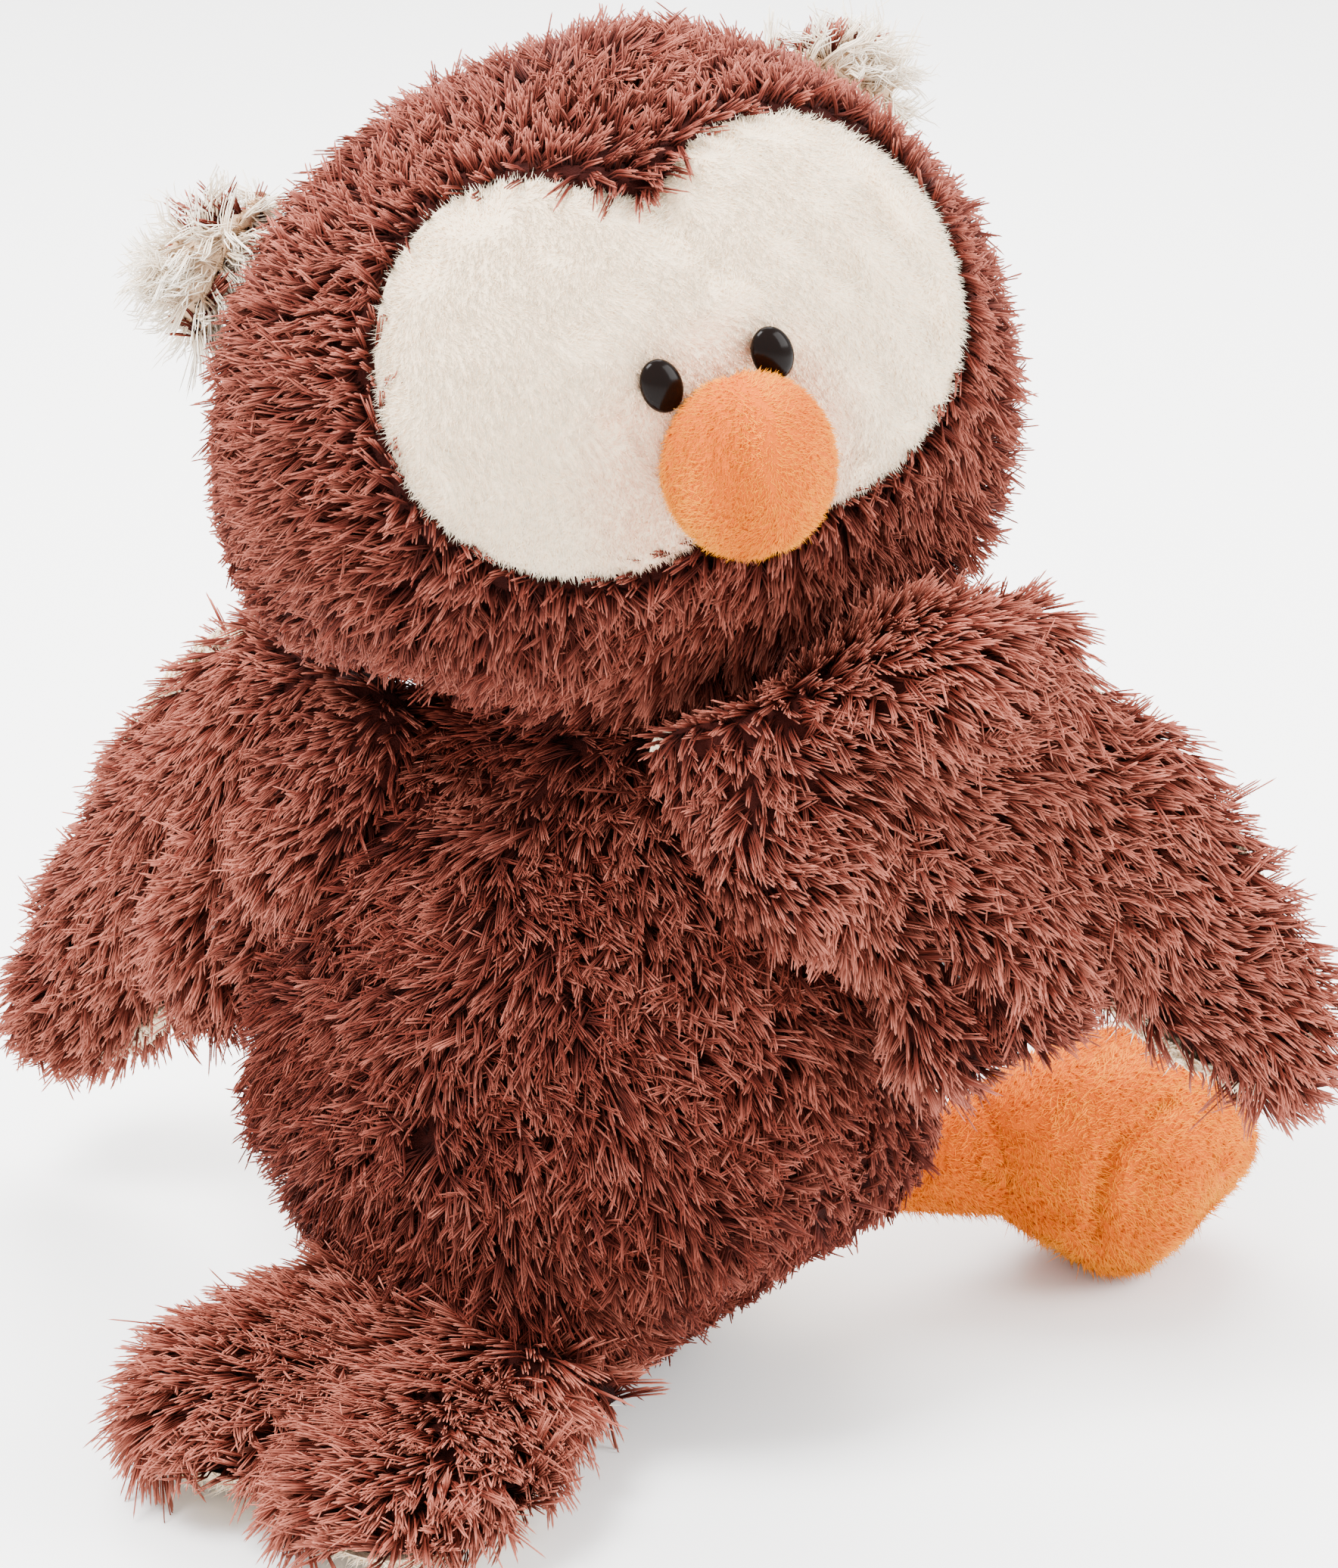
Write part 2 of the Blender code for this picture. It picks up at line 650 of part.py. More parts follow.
def build_head(shop):
    """The head's cover, face panel and stuffing, with the ways that the eyes and the neck joint need."""
    neck = shop.neck
    wall = LONG_PILE_WALL
    low = -HEAD_HALF_HEIGHT
    below = box_cutter(shop, "below_head", neck, low, GAP)
    below_wall = box_cutter(shop, "below_head_wall", neck, low, NECK_WALL)
    below_fill = box_cutter(shop, "below_head_fill", neck, low, NECK_WALL + GAP)
    bolt_way = bpy.data.objects["bolt_way"]
    cavity = head_ball(shop, "head_cavity", wall)
    boolean(cavity, "DIFFERENCE", [below_wall])
    gate = face_prism(shop, "face_gate", 0.0)
    patch = face_prism(shop, "face_patch", GAP)

    cover = head_ball(shop, "head_cover", 0.0, BROWN_PLUSH)
    boolean(cover, "DIFFERENCE", [below, bolt_way, cavity, gate])

    panel = head_ball(shop, "face_panel", FACE_SINK, CREAM_PLUSH)
    boolean(panel, "DIFFERENCE", [cavity])
    boolean(panel, "INTERSECT", [patch])

    stuffing = head_ball(shop, "head_stuffing", wall + 3 * GAP, FIBRE_FILL)
    disc_way = shop.add(
        "head_disc_way",
        cylinder_mesh("head_disc_way", DISC_RADIUS + 2 * GAP, low, NECK_WALL + DISC_THICKNESS + 2 * GAP),
        neck,
    )
    seat = NECK_WALL + DISC_THICKNESS + WASHER_THICKNESS + BOLT_HEAD_HEIGHT + 4 * GAP
    head_way = shop.add(
        "bolt_head_way", cylinder_mesh("bolt_head_way", WASHER_RADIUS + GAP, low, seat), neck
    )
    boolean(stuffing, "DIFFERENCE", [below_fill, disc_way, head_way])

    swept = HEAD_HALF_WIDTH + SWEEP_CLEARANCE
    sweep = ball_shape(swept, swept, HEAD_HALF_HEIGHT + SWEEP_CLEARANCE, (0.0, 0.0, HEAD_MIDDLE_HEIGHT))
    shop.add("head_sweep", ball_mesh("head_sweep", HEAD_CAGE, sweep), neck, None, 1)
    for side, word in ((-1, "right"), (1, "left")):
        build_eye(shop, side, word, panel, stuffing)
    build_beak(shop, gate)
    for side, word in ((-1, "right"), (1, "left")):
        build_ear(shop, side, word)


def face_prism(shop, name, margin):
    """The face panel's outline, run from inside the head out past the face."""
    outline = [(x, z + HEAD_MIDDLE_HEIGHT) for x, z in face_outline(margin)]
    return shop.add(name, prism_mesh(name, outline, -HEAD_HALF_DEPTH - OVERRUN, -margin), shop.neck)


def build_eye(shop, side, word, panel, stuffing):
    """A glossy oval eye on a shank, with the washer that locks it behind the face."""
    place = eye_matrix(side)
    eye = shop.add(
        f"{word}_eye",
        ball_mesh(f"{word}_eye", SMALL_CAGE, ball_shape(EYE_HALF_WIDTH, EYE_HALF_HEIGHT, EYE_DOME)),
        shop.neck,
        BLACK_GLOSS,
        1,
        place,
    )
    back = shop.add(
        f"{word}_eye_back",
        box_mesh(
            f"{word}_eye_back",
            (-OVERRUN, -OVERRUN, -OVERRUN),
            (OVERRUN, OVERRUN, 3 * GAP),
        ),
        shop.neck,
        matrix=place,
    )
    shank = shop.add(
        f"{word}_eye_shank",
        cylinder_mesh(f"{word}_eye_shank", EYE_SHANK_RADIUS, -EYE_SHANK_LENGTH, EYE_DOME / 2, SHANK_VERTICES),
        shop.neck,
        matrix=place,
    )
    boolean(eye, "DIFFERENCE", [back])
    boolean(eye, "UNION", [shank])
    way = shop.add(
        f"{word}_shank_way",
        cylinder_mesh(f"{word}_shank_way", EYE_SHANK_RADIUS + GAP, -EYE_SHANK_LENGTH - GAP, OVERRUN, SHANK_VERTICES),
        shop.neck,
        matrix=place,
    )
    boolean(panel, "DIFFERENCE", [way])
    washer_top = -EYE_WASHER_DEPTH
    washer = shop.add(
        f"{word}_eye_washer",
        cylinder_mesh(f"{word}_eye_washer", EYE_WASHER_RADIUS, washer_top - EYE_WASHER_THICKNESS, washer_top),
        shop.neck,
        WHITE_PLASTIC,
        matrix=place,
    )
    room = shop.add(
        f"{word}_washer_room",
        cylinder_mesh(f"{word}_washer_room", EYE_WASHER_RADIUS + GAP, -EYE_SHANK_LENGTH - GAP, OVERRUN),
        shop.neck,
        matrix=place,
    )
    pocket = shop.add(
        f"{word}_washer_pocket",
        cylinder_mesh(
            f"{word}_washer_pocket", EYE_WASHER_RADIUS + GAP, -EYE_SHANK_LENGTH - GAP, washer_top + GAP
        ),
        shop.neck,
        matrix=place,
    )
    boolean(washer, "DIFFERENCE", [way])
    boolean(panel, "DIFFERENCE", [pocket])
    boolean(stuffing, "DIFFERENCE", [room])


def build_beak(shop, gate):
    """The orange ball beak: a cover that is open where it is sewn to the face, and its stuffing."""
    place = Matrix.Translation((0.0, -BEAK_REACH, BEAK_HEIGHT + HEAD_MIDDLE_HEIGHT))
    place = place @ Matrix.Rotation(BEAK_TWIST, 4, "Y") @ Matrix.Rotation(BEAK_TWIST, 4, "Z")
    face_keep_out = head_ball(shop, "face_keep_out", FACE_SINK - GAP)
    cover_keep_out = head_ball(shop, "head_keep_out", -GAP)
    boolean(cover_keep_out, "DIFFERENCE", [gate])
    cover = beak_ball(shop, "beak_cover", 0.0, BEAK_CAGE, place, ORANGE_PLUSH)
    cavity = beak_ball(shop, "beak_cavity", SHORT_PILE_WALL, SMALL_CAGE, place)
    boolean(cover, "DIFFERENCE", [cavity, cover_keep_out, face_keep_out])
    stuffing = beak_ball(shop, "beak_stuffing", SHORT_PILE_WALL + GAP, SMALL_CAGE, place, FIBRE_FILL)
    boolean(stuffing, "DIFFERENCE", [cover_keep_out, face_keep_out])


def beak_ball(shop, name, inset, cage, place, look=None):
    """The beak's ball at this inset, as a part when it has a look and else as a cutter."""
    radius = BEAK_RADIUS - inset
    return shop.add(name, ball_mesh(name, cage, ball_shape(radius, radius, radius)), shop.neck, look, 1, place)


def build_ear(shop, side, word):
    """An ear tuft that leans outwards from the upper side of the head."""
    lean = Matrix.Rotation(side * EAR_LEAN, 4, "Y")
    place = Matrix.Translation((side * EAR_SIDE, EAR_BACK, EAR_HEIGHT + HEAD_MIDDLE_HEIGHT)) @ lean
    ear = shop.add(
        f"{word}_ear_tuft",
        ball_mesh(f"{word}_ear_tuft", SMALL_CAGE, ball_shape(EAR_HALF_WIDTH, EAR_HALF_DEPTH, EAR_HALF_HEIGHT)),
        shop.neck,
        MOHAIR,
        1,
        place,
    )
    whole = bpy.data.objects.get("head_whole_keep_out") or head_ball(shop, "head_whole_keep_out", -GAP)
    boolean(ear, "DIFFERENCE", [whole])


def lobed(shop, name, lobes, side, thickness, thin_side, inset, carrier, look=None):
    """Lobes, joined into one part when they have a look and else each a cutter."""
    made = []
    cage = INNER_LOBE_CAGE if inset > 0.0 else LOBE_CAGE
    for number, (word, root, tip, root_width, tip_width) in enumerate(lobes):
        start = Vector(root)
        end = Vector(tip)
        thin = Vector(thin_side)
        start.x *= side
        end.x *= side
        thin.x *= side
        label = name if number == 0 else f"{name}_{word}"
        shape = lobe_shape(start, end, root_width, tip_width, thickness, thin, inset)
        made.append(shop.add(label, ball_mesh(label, cage, shape), carrier, look if number == 0 else None, 1))
    if look is None:
        return made
    boolean(made[0], "UNION", made[1:])
    return made[0]


def raised(lobes, ride):
    """The same lobes, this much higher."""
    lift = Vector((0.0, 0.0, ride))
    return [(word, Vector(root) + lift, Vector(tip) + lift, *widths) for word, root, tip, *widths in lobes]


def build_wing(shop, side, word, matrix, ride, keep_out):
    """A wing: brown cover on the outer face, cream lining on the inner face, and stuffing."""
    carrier = shop.frame(f"{word}_wing_hinge", matrix)
    head_sweep = bpy.data.objects["head_sweep"]
    body_sweep = bpy.data.objects["body_sweep"]
    thin = Vector((-WING_SURFACE_SWING, 1.0, 0.0)).normalized()
    args = (raised(WING_LOBES, ride), side, WING_HALF_THICKNESS, thin)
    cavity = lobed(shop, f"{word}_wing_cavity", *args, LINING_WALL, carrier)
    reach = 8 * OVERRUN
    half = Matrix.Rotation(side * WING_SURFACE_SWING, 4, "Z")
    start = Matrix.Translation((0.0, WING_HALF_THICKNESS / 2, 0.0)) @ half
    inner_side = shop.add(
        f"{word}_wing_inner_side",
        box_mesh(f"{word}_wing_inner_side", (-reach, -reach, -reach), (reach, 0.0, reach)),
        carrier,
        matrix=start,
    )
    outer_side = shop.add(
        f"{word}_wing_outer_side",
        box_mesh(f"{word}_wing_outer_side", (-reach, -GAP, -reach), (reach, reach, reach)),
        carrier,
        matrix=start,
    )
    bpy.context.view_layer.update()
    lift = Matrix.Rotation(side * WING_LIFT_LIMIT, 4, "Y")
    body_lifted = turned_copy(shop, f"{word}_body_lifted", body_sweep, carrier, lift)
    head_lifted = turned_copy(shop, f"{word}_head_lifted", head_sweep, carrier, lift)
    clear = [keep_out, head_sweep, body_lifted, head_lifted]
    cover = lobed(shop, f"{word}_wing_cover", *args, 0.0, carrier, BROWN_PLUSH)
    boolean(cover, "DIFFERENCE", [inner_side, *cavity, *clear])
    lining = lobed(shop, f"{word}_wing_lining", *args, 0.0, carrier, CREAM_PLUSH)
    boolean(lining, "DIFFERENCE", [outer_side, *cavity, *clear])
    stuffing = lobed(shop, f"{word}_wing_stuffing", *args, LINING_WALL + 3 * GAP, carrier, FIBRE_FILL)
    boolean(stuffing, "DIFFERENCE", clear)


def turned_copy(shop, name, source, carrier, turn):
    """A cutter like the source, as it stands to the carrier once the carrier has turned on its hinge."""
    hinge = carrier.matrix_world
    place = hinge @ turn @ hinge.inverted() @ source.matrix_world
    return shop.add(name, source.data, None, None, 1, place)


def leg_form(shop, name, side, inset, carrier, look=None):
    """A foot joined to its short leg, as a part when it has a look and else as a cutter."""
    drop = LEG_PLACE_HEIGHT - FOOT_HALF_HEIGHT + FOOT_PRESS
    middle = Matrix.Translation((0.0, -FOOT_REACH, -drop))
    cage = INNER_CAGE if inset > 0.0 else FOOT_CAGE
    foot = shop.add(name, ball_mesh(name, cage, foot_shape(inset)), carrier, look, 1, middle)
    root = Vector((0.0, LEG_ROOT_REACH, -LEG_DROP))
    tip = Vector((0.0, -FOOT_REACH, -drop))
    shape = lobe_shape(
        root, tip, LEG_HALF_WIDTH, LEG_HALF_WIDTH, LEG_HALF_WIDTH, Vector((0.0, 0.0, 1.0)), inset
    )
    leg = shop.add(f"{name}_leg", ball_mesh(f"{name}_leg", INNER_LOBE_CAGE, shape), carrier, None, 1)
    if look is None:
        return [foot, leg]
    boolean(foot, "UNION", [leg])
    return foot


def build_leg(shop, side, word, keep_out):
    """A leg: an orange cover of foot and leg, open at the hip, and its stuffing."""
    carrier = shop.frame(f"{word}_leg_hinge", leg_matrix(side))
    below = bpy.data.objects["below_ground"]
    cavity = leg_form(shop, f"{word}_leg_cavity", side, SHORT_PILE_WALL, carrier)
    cover = leg_form(shop, f"{word}_leg_cover", side, 0.0, carrier, ORANGE_PLUSH)
    boolean(cover, "DIFFERENCE", [*cavity, keep_out, below])
    stuffing = leg_form(shop, f"{word}_leg_stuffing", side, SHORT_PILE_WALL + 3 * GAP, carrier, FIBRE_FILL)
    boolean(stuffing, "DIFFERENCE", [keep_out])


def build_tail(shop, keep_out):
    """The tail: brown cover above, cream lining below, and stuffing."""
    carrier = shop.frame("tail_hinge", tail_matrix())
    up = Vector((0.0, 0.0, 1.0))
    args = (TAIL_LOBES, 1, TAIL_HALF_THICKNESS + SEAT_PRESS, up)
    cavity = lobed(shop, "tail_cavity", *args, LINING_WALL, carrier)
    below_split = ground_cutter(shop, "below_tail_split", TAIL_SPLIT_HEIGHT)
    reach = BODY_BELLY_DEPTH + HEAD_HALF_WIDTH + OVERRUN
    split = TAIL_SPLIT_HEIGHT - GAP
    above_split = shop.add(
        "above_tail_split",
        box_mesh("above_tail_split", (-reach, -reach, split), (reach, reach, 3 * OVERRUN)),
        None,
    )
    cover = lobed(shop, "tail_cover", *args, 0.0, carrier, BROWN_PLUSH)
    boolean(cover, "DIFFERENCE", [below_split, *cavity, keep_out])
    lining = lobed(shop, "tail_lining", *args, 0.0, carrier, CREAM_PLUSH)
    boolean(lining, "DIFFERENCE", [above_split, bpy.data.objects["below_ground"], *cavity, keep_out])
    stuffing = lobed(shop, "tail_stuffing", *args, LINING_WALL + 3 * GAP, carrier, FIBRE_FILL)
    boolean(stuffing, "DIFFERENCE", [keep_out])


def main():
    shop = Workshop()
    shop.neck = shop.frame("neck_joint", neck_matrix())
    bpy.context.view_layer.update()
    keep_out = build_body(shop, shop.neck)
    build_neck_joint(shop, shop.neck)
    build_head(shop)
    left_wing = wing_matrix(1, LEFT_WING_SIDE, LEFT_WING_HEIGHT, LEFT_WING_SWING, LEFT_WING_RAISE)
    right_wing = wing_matrix(-1, RIGHT_WING_SIDE, RIGHT_WING_HEIGHT, RIGHT_WING_SWING, RIGHT_WING_RAISE)
    build_wing(shop, 1, "left", left_wing, LEFT_WING_RIDE, keep_out)
    build_wing(shop, -1, "right", right_wing, RIGHT_WING_RIDE, keep_out)
    build_leg(shop, 1, "left", keep_out)
    build_leg(shop, -1, "right", keep_out)
    build_tail(shop, keep_out)


main()
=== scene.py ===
"""Looks of a sitting plush owl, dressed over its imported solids.

The owl sits with its back to the camera and looks over its right shoulder. Every cover of the CAD is replaced
by a smooth stuffed form that is grown from the same solids, and the plush on it is real geometry: tufts of
tapered strands that are combed along each form, or a dense short pile on the face, beak, feet and linings.
"""

import logging
import math
from collections.abc import Callable
from dataclasses import dataclass, field, replace
from enum import Enum

import bmesh
import bpy
import numpy as np
from mathutils import Matrix, Vector
from mathutils.bvhtree import BVHTree


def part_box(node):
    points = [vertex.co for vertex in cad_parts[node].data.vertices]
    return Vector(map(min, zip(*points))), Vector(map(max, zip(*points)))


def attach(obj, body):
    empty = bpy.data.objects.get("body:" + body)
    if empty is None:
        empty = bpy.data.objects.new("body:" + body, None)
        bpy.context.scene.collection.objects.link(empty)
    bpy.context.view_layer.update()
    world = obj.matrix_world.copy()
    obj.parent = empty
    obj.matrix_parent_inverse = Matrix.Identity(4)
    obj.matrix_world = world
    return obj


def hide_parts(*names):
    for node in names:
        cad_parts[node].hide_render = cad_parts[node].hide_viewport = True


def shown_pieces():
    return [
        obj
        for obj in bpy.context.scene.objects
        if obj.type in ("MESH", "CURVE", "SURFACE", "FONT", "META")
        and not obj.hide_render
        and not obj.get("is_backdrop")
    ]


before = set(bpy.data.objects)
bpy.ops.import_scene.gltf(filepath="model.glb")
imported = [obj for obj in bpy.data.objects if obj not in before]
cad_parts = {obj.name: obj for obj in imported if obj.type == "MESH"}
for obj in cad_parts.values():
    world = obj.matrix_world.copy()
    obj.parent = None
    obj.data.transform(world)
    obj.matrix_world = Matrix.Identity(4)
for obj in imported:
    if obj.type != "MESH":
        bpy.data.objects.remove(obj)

LOG = logging.getLogger("plush_owl")
Array = np.ndarray
PointRule = Callable[[Array], Array]
SurfaceRule = Callable[[Array, Array], Array]

# Most triangles that one piece of pile may hold
PIECE_TRIANGLES = 190_000

# How many shades the strands come in, and how far each keeps inside its column of the shade map
SHADE_COUNT = 32
SHADE_MARGIN_SHARE = 0.1

# How much of its width a strand loses along it, and how high everything stays over the floor
TAPER_SHARE = 0.22
FLOOR_CLEARANCE = 0.0006
MM = 0.001

# How far two forms that touch are drawn in, and how near they have to be for it
CONTACT_INSET = 0.0022
CONTACT_REACH = 0.014

# How near another form paints shadow onto a tuft, how much darker that painted shadow makes it, and what a pressed
# tuft keeps of its length
SHADOW_REACH = 0.016
SHADOW_SHARE = 0.50
PRESSED_SHARE = 0.55

# The patches of lighter and darker pile
PATCH_SIZE = 0.030
PATCH_SHARE = 0.12

# The wide and the fine wander of long pile
WANDER_SIZE = 0.045
FINE_WANDER_SIZE = 0.014
FINE_WANDER_SEEDS = 200

# The swirl and the shade of the thin cream nap
NAP_SIZE = 0.022
NAP_SHADE = 0.05


class Slot(Enum):
    """The record's material slots."""

    BROWN = "brown_plush"
    CREAM = "cream_plush"
    ORANGE = "orange_plush"
    MOHAIR = "cream_mohair"
    FILL = "fibre_fill"
    PELLETS = "pellet_cloth"
    GLOSS = "black_gloss"
    WHITE = "white_plastic"
    BOARD = "fibre_board"
    ZINC = "zinc_steel"


# Shader expressions


class Value:
    """A number socket in a node tree, which ordinary arithmetic adds Math nodes to."""

    def __init__(self, tree: "Tree", socket: bpy.types.NodeSocket) -> None:
        """Keeps the tree and the socket."""
        self.tree = tree
        self.socket = socket

    def _math(self, operation: str, first: object, second: object) -> "Value":
        """Adds a Math node.

        Args:
            operation: The node's operation.
            first: Its first input, a Value or a number.
            second: Its second input, a Value or a number.

        Returns:
            The node's result.
        """
        return self.tree.node("ShaderNodeMath", {"operation": operation}, {0: first, 1: second})

    def __add__(self, other: object) -> "Value":
        """The sum."""
        return self._math("ADD", self, other)

    def __radd__(self, other: object) -> "Value":
        """The sum, reflected."""
        return self._math("ADD", other, self)

    def __sub__(self, other: object) -> "Value":
        """The difference."""
        return self._math("SUBTRACT", self, other)

    def __rsub__(self, other: object) -> "Value":
        """The difference, reflected."""
        return self._math("SUBTRACT", other, self)

    def __mul__(self, other: object) -> "Value":
        """The product."""
        return self._math("MULTIPLY", self, other)

    def __rmul__(self, other: object) -> "Value":
        """The product, reflected."""
        return self._math("MULTIPLY", other, self)

    def __pow__(self, other: object) -> "Value":
        """The power."""
        return self._math("POWER", self, other)


class Tree:
    """A material's node tree with one Principled surface, and one method for every other node."""

    def __init__(self, name: str) -> None:
        """Makes the material.

        Args:
            name: Its name.
        """
        self.material = bpy.data.materials.new(name)
        self.material.use_nodes = True
        self.nodes = self.material.node_tree.nodes
        self.links = self.material.node_tree.links
        self.surface = self.nodes["Principled BSDF"]

    def node(self, kind: str, settings: dict, sockets: dict, output: object = 0) -> Value:
        """Adds a node.

        Args:
            kind: The node's type.
            settings: Its properties, or the colour stops of a ramp under "stops".
            sockets: Values or numbers for its inputs, by name or index.
            output: Which output is wanted, by name or index.

        Returns:
            That output.
        """
        made = self.nodes.new(kind)
        for name, value in settings.items():
            if name == "stops":
                self._stops(made.color_ramp, value)
            else:
                setattr(made, name, value)
        for key, value in sockets.items():
            self.feed(made.inputs[key], value)
        return Value(self, made.outputs[output])

    def _stops(self, ramp: bpy.types.ColorRamp, stops: list) -> None:
        """Sets a ramp's stops.

        Args:
            ramp: The ramp, which starts with two stops.
            stops: Pairs of place and colour.
        """
        while len(ramp.elements) < len(stops):
            ramp.elements.new(1.0)
        for element, (place, colour) in zip(ramp.elements, stops):
            element.position = place
            element.color = (*colour, 1.0)

    def feed(self, socket: bpy.types.NodeSocket, value: object) -> None:
        """Links a Value to the socket, or sets a number on it.

        Args:
            socket: The socket.
            value: The Value or the number.
        """
        if isinstance(value, Value):
            self.links.new(value.socket, socket)
        else:
            socket.default_value = value

    def attribute(self, name: str) -> Value:
        """A number kept on the mesh's points."""
        return self.node("ShaderNodeAttribute", {"attribute_name": name}, {}, "Fac")

    def place(self) -> Value:
        """The place on the object, in metres."""
        return self.node("ShaderNodeTexCoord", {}, {}, "Object")

    def noise(self, scale: float, detail: float = 2.0) -> Value:
        """Cloudy noise.

        Args:
            scale: Clouds per metre.
            detail: How many finer layers it has.

        Returns:
            A number about one half.
        """
        sockets = {"Vector": self.place(), "Scale": scale, "Detail": detail}
        return self.node("ShaderNodeTexNoise", {}, sockets, "Fac")

    def mix(self, share: object, first: object, second: object) -> Value:
        """Mixes two colours.

        Args:
            share: How much of the second.
            first: A colour or a Value.
            second: A colour or a Value.

        Returns:
            The mixed colour.
        """
        made = self.nodes.new("ShaderNodeMix")
        made.data_type = "RGBA"
        self.feed(made.inputs["Factor"], share)
        for key, value in (("A", first), ("B", second)):
            socket = next(s for s in made.inputs if s.name == key and s.type == "RGBA")
            self.feed(socket, value if isinstance(value, Value) else (*value, 1.0))
        return Value(self, next(s for s in made.outputs if s.type == "RGBA"))

    def bump(self, height: Value, distance: float, strength: float = 1.0) -> None:
        """Bumps the surface.

        Args:
            height: The height, from 0 to 1.
            distance: How far a height of 1 stands out, in metres.
            strength: The bump's strength.
        """
        sockets = {"Height": height, "Distance": distance, "Strength": strength}
        self.feed(self.surface.inputs["Normal"], self.node("ShaderNodeBump", {}, sockets, "Normal"))

    def set(self, **values: object) -> None:
        """Sets or links sockets of the surface, with underscores in place of spaces."""
        for name, value in values.items():
            self.feed(self.surface.inputs[name.replace("_", " ")], value)


# Finishes


@dataclass(frozen=True)
class PlushFinish:
    """Pile whose strands run from a dark root to a light tip, in a range of shades. The dark root is partly the
    fibres' own colour and partly painted shade deep in the pile, and the range of shades carries random tone as well
    as painted light and shade.
    """

    name: str
    slot: Slot
    root: tuple
    middle: tuple
    tip: tuple
    pale_middle: tuple
    pale_tip: tuple
    middle_share: float = 0.60
    roughness: float = 0.75

    def strands(self) -> bpy.types.Material:
        """Makes the material of the strands.

        Returns:
            The material.
        """
        tree = Tree(f"{self.name}_strands")
        along = tree.attribute("along")
        shade = tree.attribute("shade")
        # Painted light and shade: the shade number mixes this deep ramp with the pale one, and the near-black root
        # stands partly for the shade deep in the pile
        deep = [(0.15, self.root), (self.middle_share, self.middle), (1.0, self.tip)]
        pale = [(0.05, self.root), (self.middle_share - 0.1, self.pale_middle), (1.0, self.pale_tip)]
        first = tree.node("ShaderNodeValToRGB", {"stops": deep}, {"Fac": along}, "Color")
        second = tree.node("ShaderNodeValToRGB", {"stops": pale}, {"Fac": along}, "Color")
        tree.set(Base_Color=tree.mix(shade, first, second), Roughness=self.roughness)
        tree.set(Specular_IOR_Level=0.12)
        return tree.material

    def backing(self) -> bpy.types.Material:
        """Makes the material of the woven backing and the roots on it, whose darkness also paints the shade between
        the tufts.

        Returns:
            The material.
        """
        tree = Tree(f"{self.name}_backing")
        clouds = tree.noise(220.0)
        fine = tree.noise(2400.0)
        share = (clouds * 0.6 + fine * 0.4) * 0.5
        # Painted shade: the backing runs from the root colour to the middle one, partly the roots' own colour and
        # partly the shade that falls between tufts
        tree.set(Base_Color=tree.mix(share, self.root, self.middle), Roughness=0.9, Specular_IOR_Level=0.1)
        tree.bump(fine, 0.0006, 0.8)
        return tree.material


@dataclass(frozen=True)
class HardFinish:
    """A plain hard finish with fine wear in its roughness."""

    name: str
    slot: Slot
    colour: tuple
    roughness: float
    metallic: float
    grain: float
    bump: float
    coat: float = 0.0
    specular: float = 0.5

    def material(self) -> bpy.types.Material:
        """Makes the material.

        Returns:
            The material.
        """
        tree = Tree(self.name)
        grain = tree.noise(self.grain, 4.0)
        darker = tuple(0.8 * part for part in self.colour)
        tree.set(Base_Color=tree.mix(grain, darker, self.colour))
        tree.set(Roughness=grain * 0.1 + (self.roughness - 0.05), Metallic=self.metallic)
        tree.set(Coat_Weight=self.coat, Coat_Roughness=0.03, Specular_IOR_Level=self.specular)
        tree.bump(grain, self.bump)
        return tree.material


# The brown's near-black root is partly painted shade deep in the pile, and its pale ramp serves both lighter tone and
# painted light
BROWN = PlushFinish(
    "brown_plush",
    Slot.BROWN,
    root=(0.0100, 0.0009, 0.0005),
    middle=(0.0560, 0.0060, 0.0029),
    tip=(0.1320, 0.0215, 0.0118),
    pale_middle=(0.1360, 0.0210, 0.0115),
    pale_tip=(0.460, 0.145, 0.098),
    middle_share=0.75,
)
CREAM = PlushFinish(
    "cream_plush",
    Slot.CREAM,
    root=(0.92, 0.72, 0.50),
    middle=(0.98, 0.84, 0.63),
    tip=(0.99, 0.89, 0.70),
    pale_middle=(0.92, 0.52, 0.33),
    pale_tip=(0.95, 0.58, 0.40),
)
ORANGE = PlushFinish(
    "orange_plush",
    Slot.ORANGE,
    root=(0.46, 0.070, 0.0),
    middle=(0.72, 0.165, 0.0),
    tip=(0.80, 0.240, 0.0),
    pale_middle=(0.80, 0.230, 0.0),
    pale_tip=(0.90, 0.370, 0.003),
)
MOHAIR = PlushFinish(
    "cream_mohair",
    Slot.MOHAIR,
    root=(0.45, 0.27, 0.15),
    middle=(0.82, 0.66, 0.48),
    tip=(0.93, 0.82, 0.66),
    pale_middle=(0.90, 0.78, 0.62),
    pale_tip=(0.98, 0.92, 0.82),
)
FILL = HardFinish("fibre_fill", Slot.FILL, (0.90, 0.90, 0.88), 0.95, 0.0, 600.0, 0.002)
PELLETS = HardFinish("pellet_cloth", Slot.PELLETS, (0.70, 0.70, 0.72), 0.9, 0.0, 900.0, 0.001)
GLOSS = HardFinish("black_gloss", Slot.GLOSS, (0.004, 0.002, 0.0015), 0.16, 0.0, 300.0, 0.0, 0.0, 0.07)
WHITE = HardFinish("white_plastic", Slot.WHITE, (0.85, 0.85, 0.83), 0.45, 0.0, 900.0, 0.0001)
BOARD = HardFinish("fibre_board", Slot.BOARD, (0.42, 0.28, 0.16), 0.8, 0.0, 1500.0, 0.0003)
ZINC = HardFinish("zinc_steel", Slot.ZINC, (0.62, 0.62, 0.64), 0.35, 1.0, 1200.0, 0.0001)


# Stuffed forms


def unit(vectors: Array) -> Array:
    """The vectors, each made one long."""
    return vectors / np.maximum(np.linalg.norm(vectors, axis=-1, keepdims=True), 1e-12)


